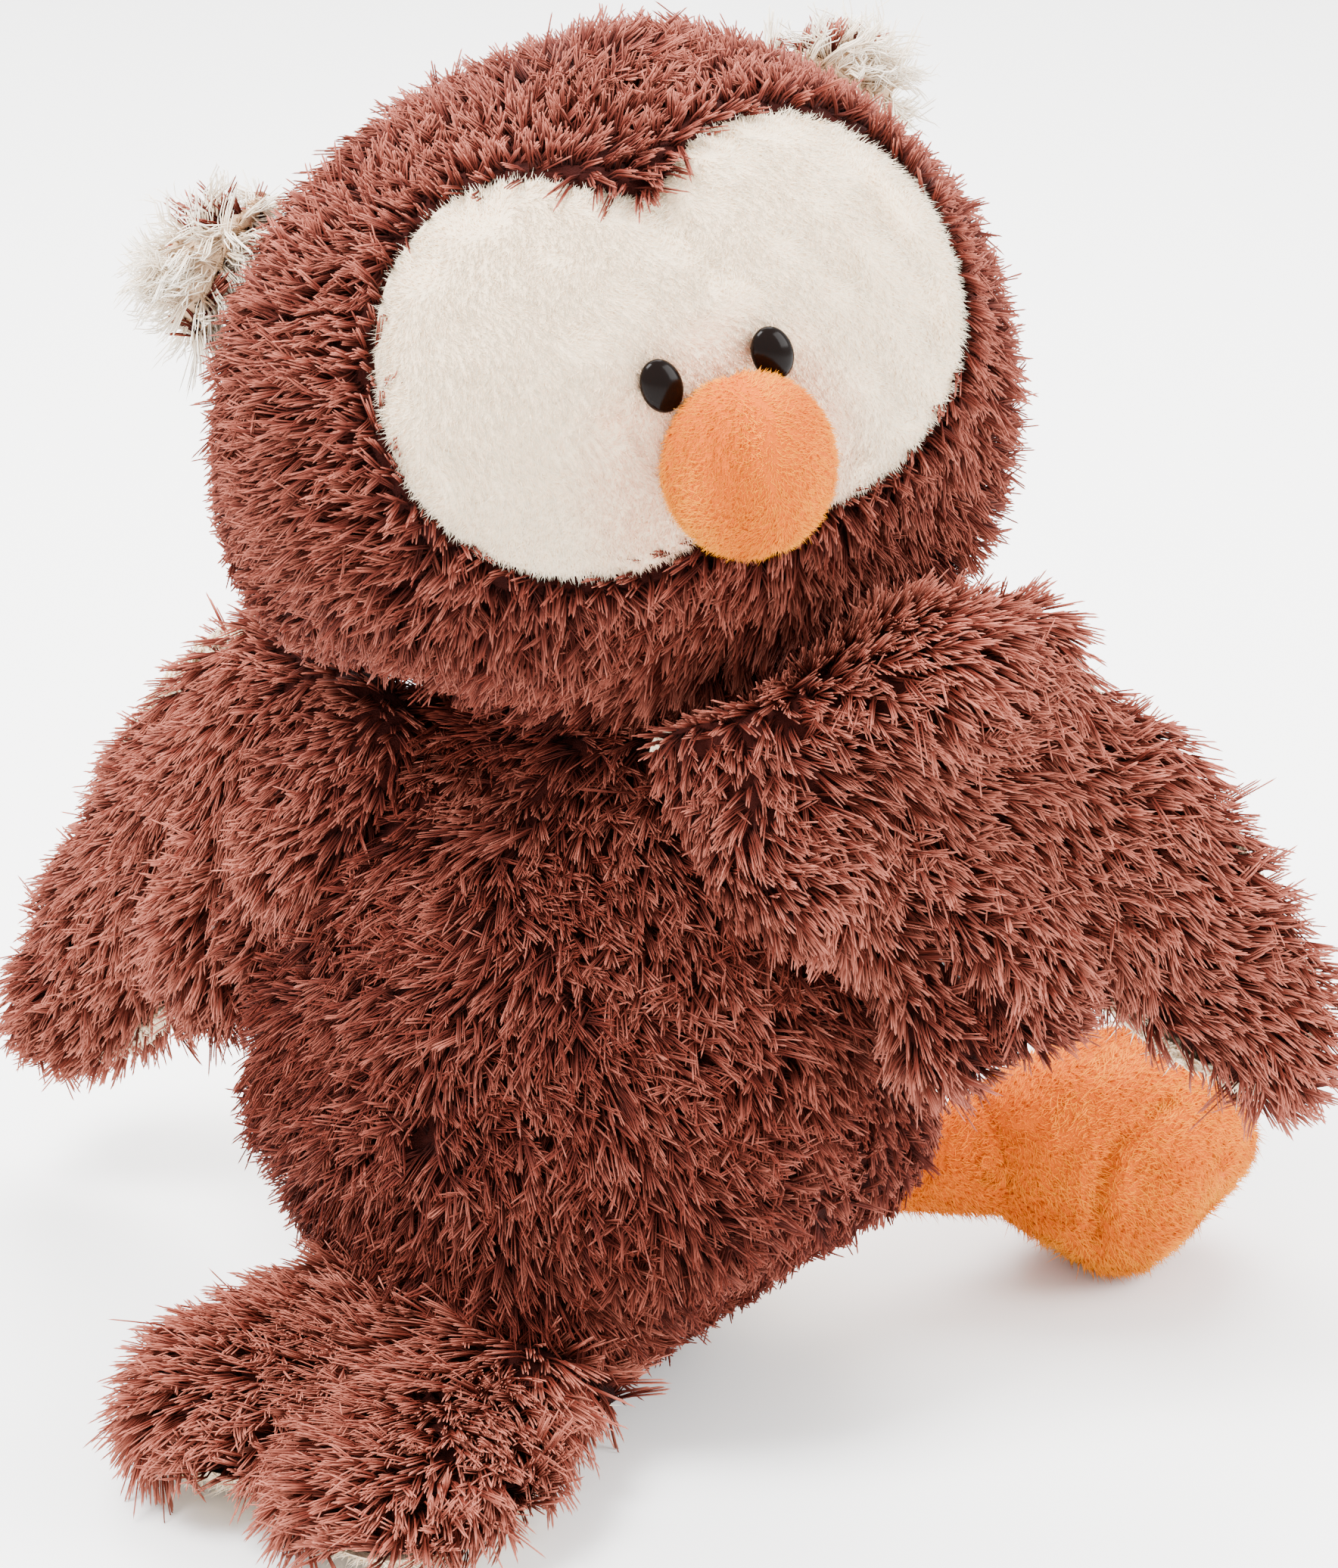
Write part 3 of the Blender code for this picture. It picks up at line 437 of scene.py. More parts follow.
def smooth_step(low: float, high: float, values: Array) -> Array:
    """A soft step.

    Args:
        low: Where it starts.
        high: Where it is done.
        values: What is stepped.

    Returns:
        Shares from 0 to 1.
    """
    share = np.clip((values - low) / (high - low), 0.0, 1.0)
    return share * share * (3.0 - 2.0 * share)


def to_local(matrix: Matrix, points: Array) -> Array:
    """Points of the row frame, seen from a body's own frame."""
    inverse = np.array(matrix.inverted())
    return points @ inverse[:3, :3].T + inverse[:3, 3]


def turned(matrix: Matrix, vectors: Array) -> Array:
    """Directions of a body's own frame, in the row frame."""
    return vectors @ np.array(matrix)[:3, :3].T


def linked(name: str, data: bpy.types.ID) -> bpy.types.Object:
    """Adds an object to the scene.

    Args:
        name: Its name.
        data: Its mesh, camera or light.

    Returns:
        The object.
    """
    made = bpy.data.objects.new(name, data)
    bpy.context.scene.collection.objects.link(made)
    return made


class Form:
    """A closed stuffed surface, grown over some of the CAD's solids."""

    def __init__(self, nodes: tuple, voxel: float, rounds: int) -> None:
        """Welds the solids into one skin and softens it.

        Args:
            nodes: The CAD nodes that it covers.
            voxel: How fine the weld is.
            rounds: How often it is softened.
        """
        build = bmesh.new()
        for node in nodes:
            build.from_mesh(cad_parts[node].data)
        mesh = bpy.data.meshes.new("form")
        build.to_mesh(mesh)
        build.free()
        piece = linked("form", mesh)
        weld = piece.modifiers.new("weld", "REMESH")
        weld.mode = "VOXEL"
        weld.voxel_size = voxel
        soften = piece.modifiers.new("soften", "SMOOTH")
        soften.factor = 0.5
        soften.iterations = rounds
        self.mesh = bpy.data.meshes.new_from_object(
            piece.evaluated_get(bpy.context.evaluated_depsgraph_get())
        )
        bpy.data.objects.remove(piece)
        self.read()

    def read(self) -> None:
        """Reads points, normals, edges and triangles from the mesh."""
        count = len(self.mesh.vertices)
        self.points = np.empty(3 * count)
        self.mesh.vertices.foreach_get("co", self.points)
        self.points = self.points.reshape(-1, 3)
        normals = np.empty(3 * count, np.float32)
        self.mesh.vertices.foreach_get("normal", normals)
        self.normals = normals.reshape(-1, 3).astype(float)
        edges = np.empty(2 * len(self.mesh.edges), np.int32)
        self.mesh.edges.foreach_get("vertices", edges)
        self.edges = edges.reshape(-1, 2)
        self.mesh.calc_loop_triangles()
        triangles = np.empty(3 * len(self.mesh.loop_triangles), np.int32)
        self.mesh.loop_triangles.foreach_get("vertices", triangles)
        self.triangles = triangles.reshape(-1, 3)

    def move(self, shift: Array, rounds: int = 2) -> "Form":
        """Moves each point along its normal and evens the result.

        Args:
            shift: How far each point goes, outwards.
            rounds: How often the surface is evened after.

        Returns:
            The form itself.
        """
        self.points = self.points + self.normals * np.asarray(shift).reshape(-1, 1)
        count = np.bincount(self.edges.ravel(), minlength=len(self.points)).reshape(-1, 1)
        for _ in range(rounds):
            total = np.zeros_like(self.points)
            np.add.at(total, self.edges[:, 0], self.points[self.edges[:, 1]])
            np.add.at(total, self.edges[:, 1], self.points[self.edges[:, 0]])
            self.points = (self.points + total / count) / 2.0
        self.points[:, 2] = np.maximum(self.points[:, 2], FLOOR_CLEARANCE)
        self.mesh.vertices.foreach_set("co", self.points.ravel())
        self.mesh.update()
        self.read()
        return self

    def draw_in(self, inset: Array, others: list, places: tuple = (), rounds: int = 2) -> "Form":
        """Draws the surface in to leave room for the pile, least where another form touches it.

        Args:
            inset: How far each point goes in.
            others: Search trees of the forms next to it, as they were grown.
            places: Bulges and dents as x, y, z, radius and height, all in millimetres.
            rounds: How often the surface is evened after.

        Returns:
            The form itself.
        """
        near = np.zeros(len(self.points))
        for tree in others:
            for index, point in enumerate(self.points.tolist()):
                gap = tree.find_nearest(point, CONTACT_REACH)[3]
                if gap is not None:
                    near[index] = max(near[index], 1.0 - gap / CONTACT_REACH)
        shift = -inset + (inset - np.minimum(inset, CONTACT_INSET)) * smooth_step(0.0, 0.8, near)
        for *middle, radius, height in places:
            away = np.linalg.norm(self.points / MM - np.array(middle), axis=1) / radius
            shift = shift + height * MM * np.exp(-away * away)
        return self.move(shift, rounds)

    def wrap(self, tree: BVHTree, low: Array, high: Array) -> "Form":
        """Draws the surface to another form.

        Args:
            tree: The other form's search tree.
            low: The least height of each point above it, below zero for a depth.
            high: The greatest height of each point above it.

        Returns:
            The form itself.
        """
        lows = np.broadcast_to(low, len(self.points))
        highs = np.broadcast_to(high, len(self.points))
        for index, point in enumerate(self.points.tolist()):
            place, normal, _, _ = tree.find_nearest(point)
            gap = (Vector(point) - place).dot(normal)
            wanted = min(max(gap, lows[index]), highs[index])
            if wanted != gap:
                self.points[index] = place + normal * wanted
        return self.move(np.zeros(len(self.points)), 1)

    def tree(self) -> BVHTree:
        """A search tree of its triangles."""
        return BVHTree.FromPolygons(self.points.tolist(), self.triangles.tolist())

    def scatter(self, spacing: float, rng: np.random.Generator) -> tuple:
        """Spreads roots evenly over the surface.

        Args:
            spacing: About how far apart they are.
            rng: The source of random numbers.

        Returns:
            The roots and the normals there.
        """
        corners = self.points[self.triangles]
        first_side = corners[:, 1] - corners[:, 0]
        second_side = corners[:, 2] - corners[:, 0]
        area = np.linalg.norm(np.cross(first_side, second_side), axis=1) / 2
        count = int(3.0 * area.sum() / spacing**2)
        pick = rng.choice(len(area), count, p=area / area.sum())
        first, second = rng.random((2, count))
        over = first + second > 1.0
        first[over], second[over] = 1.0 - first[over], 1.0 - second[over]
        share = np.stack([1.0 - first - second, first, second], 1)[:, :, None]
        roots = (corners[pick] * share).sum(1)
        normals = unit((self.normals[self.triangles[pick]] * share).sum(1))
        cells = np.floor(roots / (1.12 * spacing)).astype(np.int64)
        _, keep = np.unique(cells, axis=0, return_index=True)
        keep.sort()
        return roots[keep], normals[keep]


def inside(trees: list, points: Array) -> Array:
    """Which points lie inside any of the forms.

    Args:
        trees: Search trees of closed forms.
        points: The points.

    Returns:
        A truth value for each point.
    """
    found = np.zeros(len(points), bool)
    for tree in trees:
        for index, point in enumerate(points.tolist()):
            place, normal, _, _ = tree.find_nearest(point)
            if (Vector(point) - place).dot(normal) < 0.0:
                found[index] = True
    return found


class Swirl:
    """A smooth field of directions that wanders, as a combed pile does."""

    def __init__(self, wavelength: float, seed: int) -> None:
        """Draws the waves.

        Args:
            wavelength: About how far it takes to change.
            seed: The seed of its random numbers.
        """
        rng = np.random.default_rng(seed)
        self.waves = unit(rng.normal(size=(9, 3))) * 2.0 * math.pi / wavelength
        self.waves *= rng.uniform(0.6, 1.6, (9, 1))
        self.phases = rng.uniform(0.0, 2.0 * math.pi, 9)
        self.pulls = rng.normal(size=(9, 3))

    def __call__(self, points: Array) -> Array:
        """The field's vectors at these points, about one long."""
        return np.sin(points @ self.waves.T + self.phases) @ self.pulls / 3.0

    def level(self, points: Array) -> Array:
        """One number of the field at these points, about -1 to 1."""
        return self(points)[:, 0]


def wandered(run: Array, points: Array, seed: int, wide: float = 0.45, fine: float = 0.35,
             size: float = WANDER_SIZE) -> Array:
    """Lets combed directions wander.

    Args:
        run: The directions.
        points: Where they are.
        seed: The seed of the wide wander.
        wide: How strong the wide wander is.
        fine: How strong the fine wander is.
        size: How wide the wide wander is.

    Returns:
        The new directions.
    """
    fine_swirl = Swirl(FINE_WANDER_SIZE, FINE_WANDER_SEEDS + seed)
    return run + wide * Swirl(size, seed)(points) + fine * fine_swirl(points)


def from_line(points: Array, start: Array, end: Array, reach: float = 1.0) -> Array:
    """Measures from a line to points.

    Args:
        points: The points.
        start: Where the line starts.
        end: Where it ends.
        reach: How far it goes on, as a share of its length.

    Returns:
        The way from the line's nearest place to each point.
    """
    axis = end - start
    share = np.clip(((points - start) @ axis) / (axis @ axis), 0.0, reach)
    return points - start - share[:, None] * axis


def fanned(points: Array, lobes: tuple, spread: float) -> Array:
    """Combs points along the nearest of some lobes, and out towards its edges.

    Args:
        points: The points.
        lobes: The root and the tip of each lobe's middle line.
        spread: How much the directions fan out for each metre from that line.

    Returns:
        The directions.
    """
    best = np.full(len(points), np.inf)
    run = np.zeros_like(points)
    for root, tip in lobes:
        start, end = np.array(root), np.array(tip)
        off = from_line(points, start, end)
        away = np.linalg.norm(off, axis=1)
        near = away < best
        run[near] = (unit(end - start)[None] + spread * off)[near]
        best[near] = away[near]
    return run


# Pile


@dataclass(frozen=True)
class Pile:
    """How strands are cut, clumped and laid."""

    length: float
    spacing: float
    strands: int
    spread: float
    width: float
    steps: tuple = (0.0, 0.5, 0.95, 1.0)
    rise: float = math.radians(56.0)
    rise_spread: float = math.radians(15.0)
    sway: float = 0.45
    bend: float = 0.90
    clump_share: float = 0.70
    length_spread_share: float = 0.12
    wobble_share: float = 0.05
    curl_share: float = 0.0
    sink: float = 0.0010


LONG_PILE = Pile(length=0.0098, spacing=0.0019, strands=5, spread=0.00100, width=0.00052)
TAIL_PILE = replace(LONG_PILE, length=0.0112)
EAR_PILE = replace(LONG_PILE, length=0.0080, width=0.00048)
MOHAIR_PILE = Pile(
    length=0.0100,
    spacing=0.0023,
    strands=8,
    spread=0.0013,
    width=0.00042,
    steps=(0.0, 0.25, 0.5, 0.75, 0.93, 1.0),
    sway=0.6,
    bend=0.5,
    wobble_share=0.10,
    curl_share=0.16,
)
SHORT_PILE = Pile(
    length=0.0030,
    spacing=0.00066,
    strands=1,
    spread=0.0,
    width=0.00050,
    steps=(0.0, 1.0),
    rise=math.radians(42.0),
    sway=0.5,
    bend=0.2,
    length_spread_share=0.20,
    wobble_share=0.12,
    sink=0.0006,
)
BEAK_PILE = replace(
    SHORT_PILE,
    length=0.0021,
    spacing=0.00050,
    width=0.00042,
    rise=math.radians(44.0),
    length_spread_share=0.15,
    wobble_share=0.10,
    sink=0.0005,
)
FACE_PILE = replace(
    SHORT_PILE,
    length=0.0026,
    spacing=0.00056,
    width=0.00046,
    rise=math.radians(46.0),
    rise_spread=math.radians(10.0),
    sway=0.35,
    length_spread_share=0.12,
    wobble_share=0.08,
)
HIDDEN_PILE = replace(
    SHORT_PILE,
    length=0.0036,
    spacing=0.0011,
    width=0.00085,
    rise=math.radians(38.0),
    sway=0.6,
    length_spread_share=0.25,
    wobble_share=0.15,
)


@dataclass
class Tufts:
    """Where a coat's tufts stand, which way they are combed, and their length and shade."""

    roots: Array
    normals: Array
    comb: Array
    length: Array
    shade: Array
    lift: Array

    def chosen(self, keep: Array) -> "Tufts":
        """The tufts that are kept."""
        rows = (self.roots, self.normals, self.comb, self.length, self.shade, self.lift)
        return Tufts(*(row[keep] for row in rows))


def strand_template(rings: int) -> tuple:
    """The faces of one three-sided strand.

    Args:
        rings: How many rings it has, of which the last is its tip.

    Returns:
        Its corners' vertex numbers in one row, and how many corners each face has.
    """
    corners = [2, 1, 0]
    sizes = [3]
    for ring in range(rings - 2):
        for side in range(3):
            after = (side + 1) % 3
            low, high = 3 * ring, 3 * ring + 3
            corners += [low + side, low + after, high + after, high + side]
            sizes.append(4)
    tip = 3 * (rings - 1)
    for side in range(3):
        corners += [tip - 3 + side, tip - 3 + (side + 1) % 3, tip]
        sizes.append(3)
    return np.array(corners, np.int32), np.array(sizes, np.int32)


def strand_lines(pile: Pile, tufts: Tufts, rng: np.random.Generator) -> tuple:
    """The middle lines of all strands.

    Args:
        pile: How they are laid.
        tufts: Where they stand.
        rng: The source of random numbers.

    Returns:
        The lines as strands by rings by 3, and each strand's sideways and upward direction.
    """
    count = len(tufts.roots)
    normals = tufts.normals
    comb = unit(tufts.comb - normals * (tufts.comb * normals).sum(1, keepdims=True))
    side = np.cross(normals, comb)
    rise = pile.rise + tufts.lift + rng.normal(0.0, pile.rise_spread, count)
    sway = rng.normal(0.0, pile.sway, (count, 1))
    lead = unit(comb * np.cos(rise)[:, None] + normals * np.sin(rise)[:, None] + side * sway)
    bend = comb * pile.bend - normals * 0.25 * pile.bend + side * sway * rng.normal(0.5, 0.5, (count, 1))
    bend[:, 2] -= 0.12
    shape = (count, pile.strands)
    angle = rng.uniform(0.0, 2.0 * math.pi, shape)
    radius = pile.spread * np.sqrt(rng.random(shape))
    offset = (
        np.cos(angle)[..., None] * comb[:, None] + np.sin(angle)[..., None] * side[:, None]
    ) * radius[..., None]
    length = tufts.length[:, None] * (1.0 + rng.normal(0.0, pile.length_spread_share, shape))
    wobble = rng.normal(0.0, pile.wobble_share, (*shape, 3))
    curl = rng.uniform(0.0, 2.0 * math.pi, (count, 1)) + rng.normal(0.0, 0.5, shape)
    lines = np.empty((*shape, len(pile.steps), 3))
    for index, step in enumerate(pile.steps):
        open_share = 1.0 - (1.0 - pile.clump_share) * step**1.3
        run = (lead * step + bend * 0.5 * step * step)[:, None] + wobble * step
        twist = pile.curl_share * step * np.sin(curl + 9.0 * step)
        run = run + side[:, None] * twist[..., None]
        start = tufts.roots[:, None] - normals[:, None] * pile.sink
        lines[:, :, index] = start + offset * open_share + run * length[..., None]
    lines = lines.reshape(-1, len(pile.steps), 3)
    ahead = unit(lines[:, -1] - lines[:, 0])
    across = unit(np.cross(ahead, np.repeat(normals, pile.strands, 0) + 0.01))
    return lines, across, np.cross(ahead, across)


def pile_pieces(name: str, pile: Pile, tufts: Tufts, finish: PlushFinish, body: str, seed: int) -> list:
    """Grows a coat as one piece or more.

    Args:
        name: What the pieces are called.
        pile: How strands are laid.
        tufts: Where they stand.
        finish: Their finish.
        body: The CAD body that they ride on.
        seed: The seed of the random numbers.

    Returns:
        The pieces.
    """
    middle = tufts.roots.mean(0)
    order = np.argsort(np.arctan2(tufts.roots[:, 1] - middle[1], tufts.roots[:, 0] - middle[0]))
    tufts = tufts.chosen(order)
    rng = np.random.default_rng(seed)
    lines, across, upward = strand_lines(pile, tufts, rng)
    shade = np.repeat(tufts.shade, pile.strands) + rng.normal(0.0, 0.10, len(lines))
    shade = np.round(np.clip(shade, 0.0, 1.0) * (SHADE_COUNT - 1))
    corners, sizes = strand_template(len(pile.steps))
    triangles = int((sizes - 2).sum())
    parts = math.ceil(len(lines) * triangles / PIECE_TRIANGLES)
    material = finish.strands()
    made = []
    for part, rows in enumerate(np.array_split(np.arange(len(lines)), parts)):
        title = name if parts == 1 else f"{name}_{part + 1}"
        mesh = strand_mesh(title, pile, lines[rows], across[rows], upward[rows], shade[rows])
        made.append(add_piece(title, mesh, material, body, finish.slot))
    LOG.info("%s: %d strands in %d pieces", name, len(lines), parts)
    return made


def strand_mesh(name: str, pile: Pile, lines: Array, across: Array, upward: Array,
                shade: Array) -> bpy.types.Mesh:
    """The mesh of some strands.

    Args:
        name: The mesh's name.
        pile: How strands are laid.
        lines: Their middle lines.
        across: A direction across each.
        upward: The other direction across each.
        shade: The number of each strand's shade.

    Returns:
        The mesh, with the shade and the place along the strand on its points.
    """
    count = len(lines)
    rings = len(pile.steps)
    steps = np.array(pile.steps)
    per_strand = 3 * (rings - 1) + 1
    points = np.empty((count, per_strand, 3))
    for ring in range(rings - 1):
        half = 0.5 * pile.width * (1.0 - TAPER_SHARE * steps[ring] ** 2)
        for corner in range(3):
            angle = 2.0 * math.pi * corner / 3.0
            points[:, 3 * ring + corner] = (
                lines[:, ring] + (across * math.cos(angle) + upward * math.sin(angle)) * half
            )
    points[:, -1] = lines[:, -1]
    points[..., 2] = np.maximum(points[..., 2], FLOOR_CLEARANCE / 2)
    corners, sizes = strand_template(rings)
    loops = (corners[None] + per_strand * np.arange(count, dtype=np.int32)[:, None]).ravel()
    totals = np.tile(sizes, count)
    mesh = bpy.data.meshes.new(name)
    mesh.vertices.add(count * per_strand)
    mesh.vertices.foreach_set("co", points.astype(np.float32).ravel())
    mesh.loops.add(len(loops))
    mesh.loops.foreach_set("vertex_index", loops)
    mesh.polygons.add(len(totals))
    mesh.polygons.foreach_set("loop_start", np.concatenate([[0], np.cumsum(totals)[:-1]]).astype(np.int32))
    mesh.update(calc_edges=True)
    mesh.shade_smooth()
    along = np.append(np.repeat(steps[:-1], 3), 1.0)
    keep_number(mesh, "along", np.tile(along, count))
    keep_number(mesh, "shade", np.repeat(shade / (SHADE_COUNT - 1), per_strand))
    half = 0.5 - SHADE_MARGIN_SHARE
    sideways = np.append(np.tile([-half, 0.0, half], rings - 1), 0.0)
    columns = (np.repeat(shade, per_strand) + 0.5 + np.tile(sideways, count)) / SHADE_COUNT
    places = np.stack([columns, 0.02 + 0.96 * np.tile(along, count)], 1)[loops]
    layer = mesh.uv_layers.new(name="OFBake")
    layer.data.foreach_set("uv", places.astype(np.float32).ravel())
    return mesh


def keep_number(mesh: bpy.types.Mesh, name: str, values: Array) -> None:
    """Keeps a number on each point of the mesh."""
    kept = mesh.attributes.new(name, "FLOAT", "POINT")
    kept.data.foreach_set("value", np.asarray(values, np.float32))


def add_piece(name: str, mesh: bpy.types.Mesh, material: bpy.types.Material, body: str,
              slot: Slot) -> bpy.types.Object:
    """Adds a piece that rides on a body.

    Args:
        name: The piece's name.
        mesh: Its mesh.
        material: Its material.
        body: The CAD body that it rides on.
        slot: Not used.

    Returns:
        The piece.
    """
    mesh.materials.clear()
    mesh.materials.append(material)
    piece = linked(name, mesh)
    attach(piece, body)
    return piece


def pad(name: str, form: Form, material: bpy.types.Material, body: str, slot: Slot, nodes: tuple) -> bpy.types.Object:
    """Adds a stuffed piece in place of CAD nodes.

    Args:
        name: The piece's name.
        form: Its shape.
        material: Its material.
        body: The CAD body that it rides on.
        slot: The record's material slot.
        nodes: The CAD nodes that it stands for.

    Returns:
        The piece.
    """
    form.mesh.shade_smooth()
    piece = add_piece(name, form.mesh, material, body, slot)
    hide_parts(*nodes)
    LOG.info("%s: %d faces", name, len(form.mesh.polygons))
    return piece


def coat(
    form: Form,
    pile: Pile,
    comb: SurfaceRule,
    seed: int,
    keep: SurfaceRule | None = None,
    shade: PointRule | None = None,
    lift: PointRule | None = None,
) -> Tufts:
    """Plans the tufts of a form.

    Args:
        form: The form that they stand on.
        pile: How they are laid.
        comb: Gives the combed directions at points with normals.
        seed: The seed of the random numbers.
        keep: Says which roots with which normals stand, or None for all.
        shade: Gives the shades at points, or None for a middle shade.
        lift: Says how much steeper than usual the tufts at points stand, or None.

    Returns:
        The tufts.
    """
    rng = np.random.default_rng(seed)
    roots, normals = form.scatter(pile.spacing, rng)
    if keep is not None:
        kept = keep(roots, normals)
        roots, normals = roots[kept], normals[kept]
    count = len(roots)
    length = pile.length * (1.0 + rng.normal(0.0, pile.length_spread_share, count))
    level = np.full(count, 0.5) if shade is None else shade(roots)
    level = level + rng.normal(0.0, 0.14, count) if pile.strands > 1 else level
    steeper = np.zeros(count) if lift is None else lift(roots)
    return Tufts(roots, normals, comb(roots, normals), length, level, steeper)


def settled(tufts: Tufts, trees: list) -> Tufts:
    """Shortens the tufts that other forms press on, and paints shadow onto the ones near other forms.

    Args:
        tufts: The tufts.
        trees: Search trees of the other forms.

    Returns:
        The tufts, changed.
    """
    reach = tufts.roots + tufts.normals * 0.55 * tufts.length[:, None]
    pressed = inside(trees, reach)
    tufts.length = np.where(pressed, tufts.length * PRESSED_SHARE, tufts.length)
    # Painted shadow: a tuft near another form gets a lower shade number, the darker the nearer that form is
    away = np.full(len(tufts.roots), SHADOW_REACH)
    for tree in trees:
        for index, root in enumerate(tufts.roots.tolist()):
            found = tree.find_nearest(root, SHADOW_REACH)[3]
            away[index] = min(away[index], SHADOW_REACH if found is None else found)
    tufts.shade = tufts.shade - SHADOW_SHARE * (1.0 - smooth_step(0.0, SHADOW_REACH, away))
    return tufts


def add_nap(name: str, form: Form, body: str, run: tuple, keep: SurfaceRule, seeds: tuple) -> None:
    """Adds the thin cream nap of a lining or a panel.

    Args:
        name: What the pieces are called.
        form: The form that it stands on.
        body: The CAD body that it rides on.
        run: The way that it is combed.
        keep: Says which roots with which normals stand.
        seeds: The seeds of its swirl, its roots and its strands.
    """
    swirl = Swirl(NAP_SIZE, seeds[0])
    tufts = coat(
        form,
        HIDDEN_PILE,
        lambda points, normals: np.array(run) + swirl(points),
        seeds[1],
        keep,
        lambda points: np.full(len(points), NAP_SHADE),
    )
    pile_pieces(name, HIDDEN_PILE, tufts, CREAM, body, seeds[2])


# The owl


@dataclass
class Head:
    """The head: an egg on its side with a two-lobed face, a round beak, bead eyes and ear tufts."""

    neck: tuple = (-0.004, -0.027, 0.178)
    tilt: float = math.radians(10.0)
    tilt_side: float = math.radians(35.0)
    turn: float = math.radians(-123.0)
    middle: float = 0.073
    inset: float = 0.0075
    rim_inset: float = 0.0015
    rim_level: float = 1.05
    rim_width: float = 0.12
    rim_lift: float = math.radians(34.0)
    places: tuple = (
        (55, 40, 195, 18, 10.0),
        (72, 39, 213, 18, 8.5),
        (78, 44, 236, 18, 2.5),
        (-45, -50, 190, 18, 5.4),
        (-55, -54, 200, 18, 8.4),
        (-57, -75, 214, 18, 8.0),
        (-64, -60, 214, 16, 2.5),
        (-68, -76, 240, 18, 4.3),
        (-38, -84, 304, 18, -2.0),
        (-62, -73, 287, 18, -2.0),
        (13, -59, 325, 18, 2.6),
        (10, -27, 332, 18, 3.1),
    )
    face_lobes: tuple = ((-0.0265, 0.0435, 0.0415, 0.0470), (0.0290, 0.0445, 0.0395, 0.0475))
    face_height: float = 0.017
    brow_level: float = 1.0
    trim_depth: float = 0.0038
    part_shift: float = 0.0026
    beak_height: float = -0.005
    beak_reach: float = 0.078
    beak_radius: float = 0.0228
    beak_twist: float = math.radians(11.0)
    eye_half: tuple = (0.0050, 0.0028, 0.0066)
    eye_shift: float = 0.0015
    eye_lean: float = math.radians(13.0)
    ear_split: float = 0.40
    # Painted light: the pile's shade number rises from the lower head to the crown, darker below where less light
    # falls
    shade_start: float = 0.24
    painted_light_gain: float = 0.24
    painted_light_heights: tuple = (0.205, 0.255)
    form: Form = field(init=False, default=None)
    matrix: Matrix = field(init=False, default=None)

    def prepare(self) -> None:
        """Grows the head's form and works out its frame."""
        lean_axis = Vector((math.cos(self.tilt_side + math.pi / 2), math.cos(self.tilt_side), 0.0))
        lean = Matrix.Rotation(self.tilt, 4, lean_axis)
        self.matrix = Matrix.Translation(self.neck) @ lean @ Matrix.Rotation(self.turn, 4, "Z")
        self.form = Form(("head_cover", "face_panel", "head_stuffing", "head_disc"), 0.0035, 8)

    def draw_in(self, others: list) -> None:
        """Draws the form in, less on the rim of the face.

        Args:
            others: Search trees of the forms next to it, as they were grown.
        """
        rim = self.rim(self.form.points)
        self.form.draw_in(self.inset + (self.rim_inset - self.inset) * rim, others, self.places)

    def face_level(self, points: Array) -> Array:
        """Measures how far out from the face's middle points lie.

        Args:
            points: The points.

        Returns:
            The levels, 1 on the face's outline.
        """
        local = to_local(self.matrix, points)
        height = local[:, 2] - self.middle - self.face_height
        levels = [
            np.hypot((local[:, 0] - offset) / half, height / np.where(height < 0.0, low, high))
            for offset, half, low, high in self.face_lobes
        ]
        return np.where(local[:, 1] < 0.0, np.minimum(*levels), 9.0)

    def rim(self, points: Array) -> Array:
        """How near points lie to the rim of the face, from 0 to 1."""
        level = self.face_level(points)
        return np.exp(-(((level - self.rim_level) / self.rim_width) ** 2)) * smooth_step(0.95, 1.0, level)

    def comb(self, points: Array, normals: Array) -> Array:
        """Combs the head's pile away from the face and a little down.

        Args:
            points: The roots.
            normals: Not used.

        Returns:
            The directions.
        """
        face = turned(self.matrix, np.array([[0.0, -1.0, 0.0]]))
        away = -face + np.array([0.0, 0.0, -0.35])
        return wandered(away, points, 3, size=0.055)

    def shade(self, points: Array) -> Array:
        """Paints light and shade into the pile: lighter towards the crown, darker below.

        Args:
            points: The roots.

        Returns:
            The shades.
        """
        light = self.shade_start + self.painted_light_gain * smooth_step(*self.painted_light_heights, points[:, 2])
        return light + PATCH_SHARE * Swirl(PATCH_SIZE, 5).level(points)

    def build(self, others: list) -> None:
        """Adds the head's pieces.

        Args:
            others: Search trees of the forms next to it.
        """
        pad("head_skin", self.form, BROWN.backing(), "head", Slot.BROWN, ("head_cover",))
        tufts = coat(
            self.form,
            LONG_PILE,
            self.comb,
            11,
            keep=lambda roots, normals: self.face_level(roots) > self.brow_level,
            shade=self.shade,
            lift=lambda roots: self.rim_lift * self.rim(roots),
        )
        tufts.length = tufts.length * (1.0 - 0.25 * self.rim(tufts.roots))
        tufts = settled(tufts, others)
        pile_pieces("head_pile", LONG_PILE, tufts, BROWN, "head", 12)
        self.build_face()
        self.build_beak()
        self.build_eyes()
        self.build_ears()

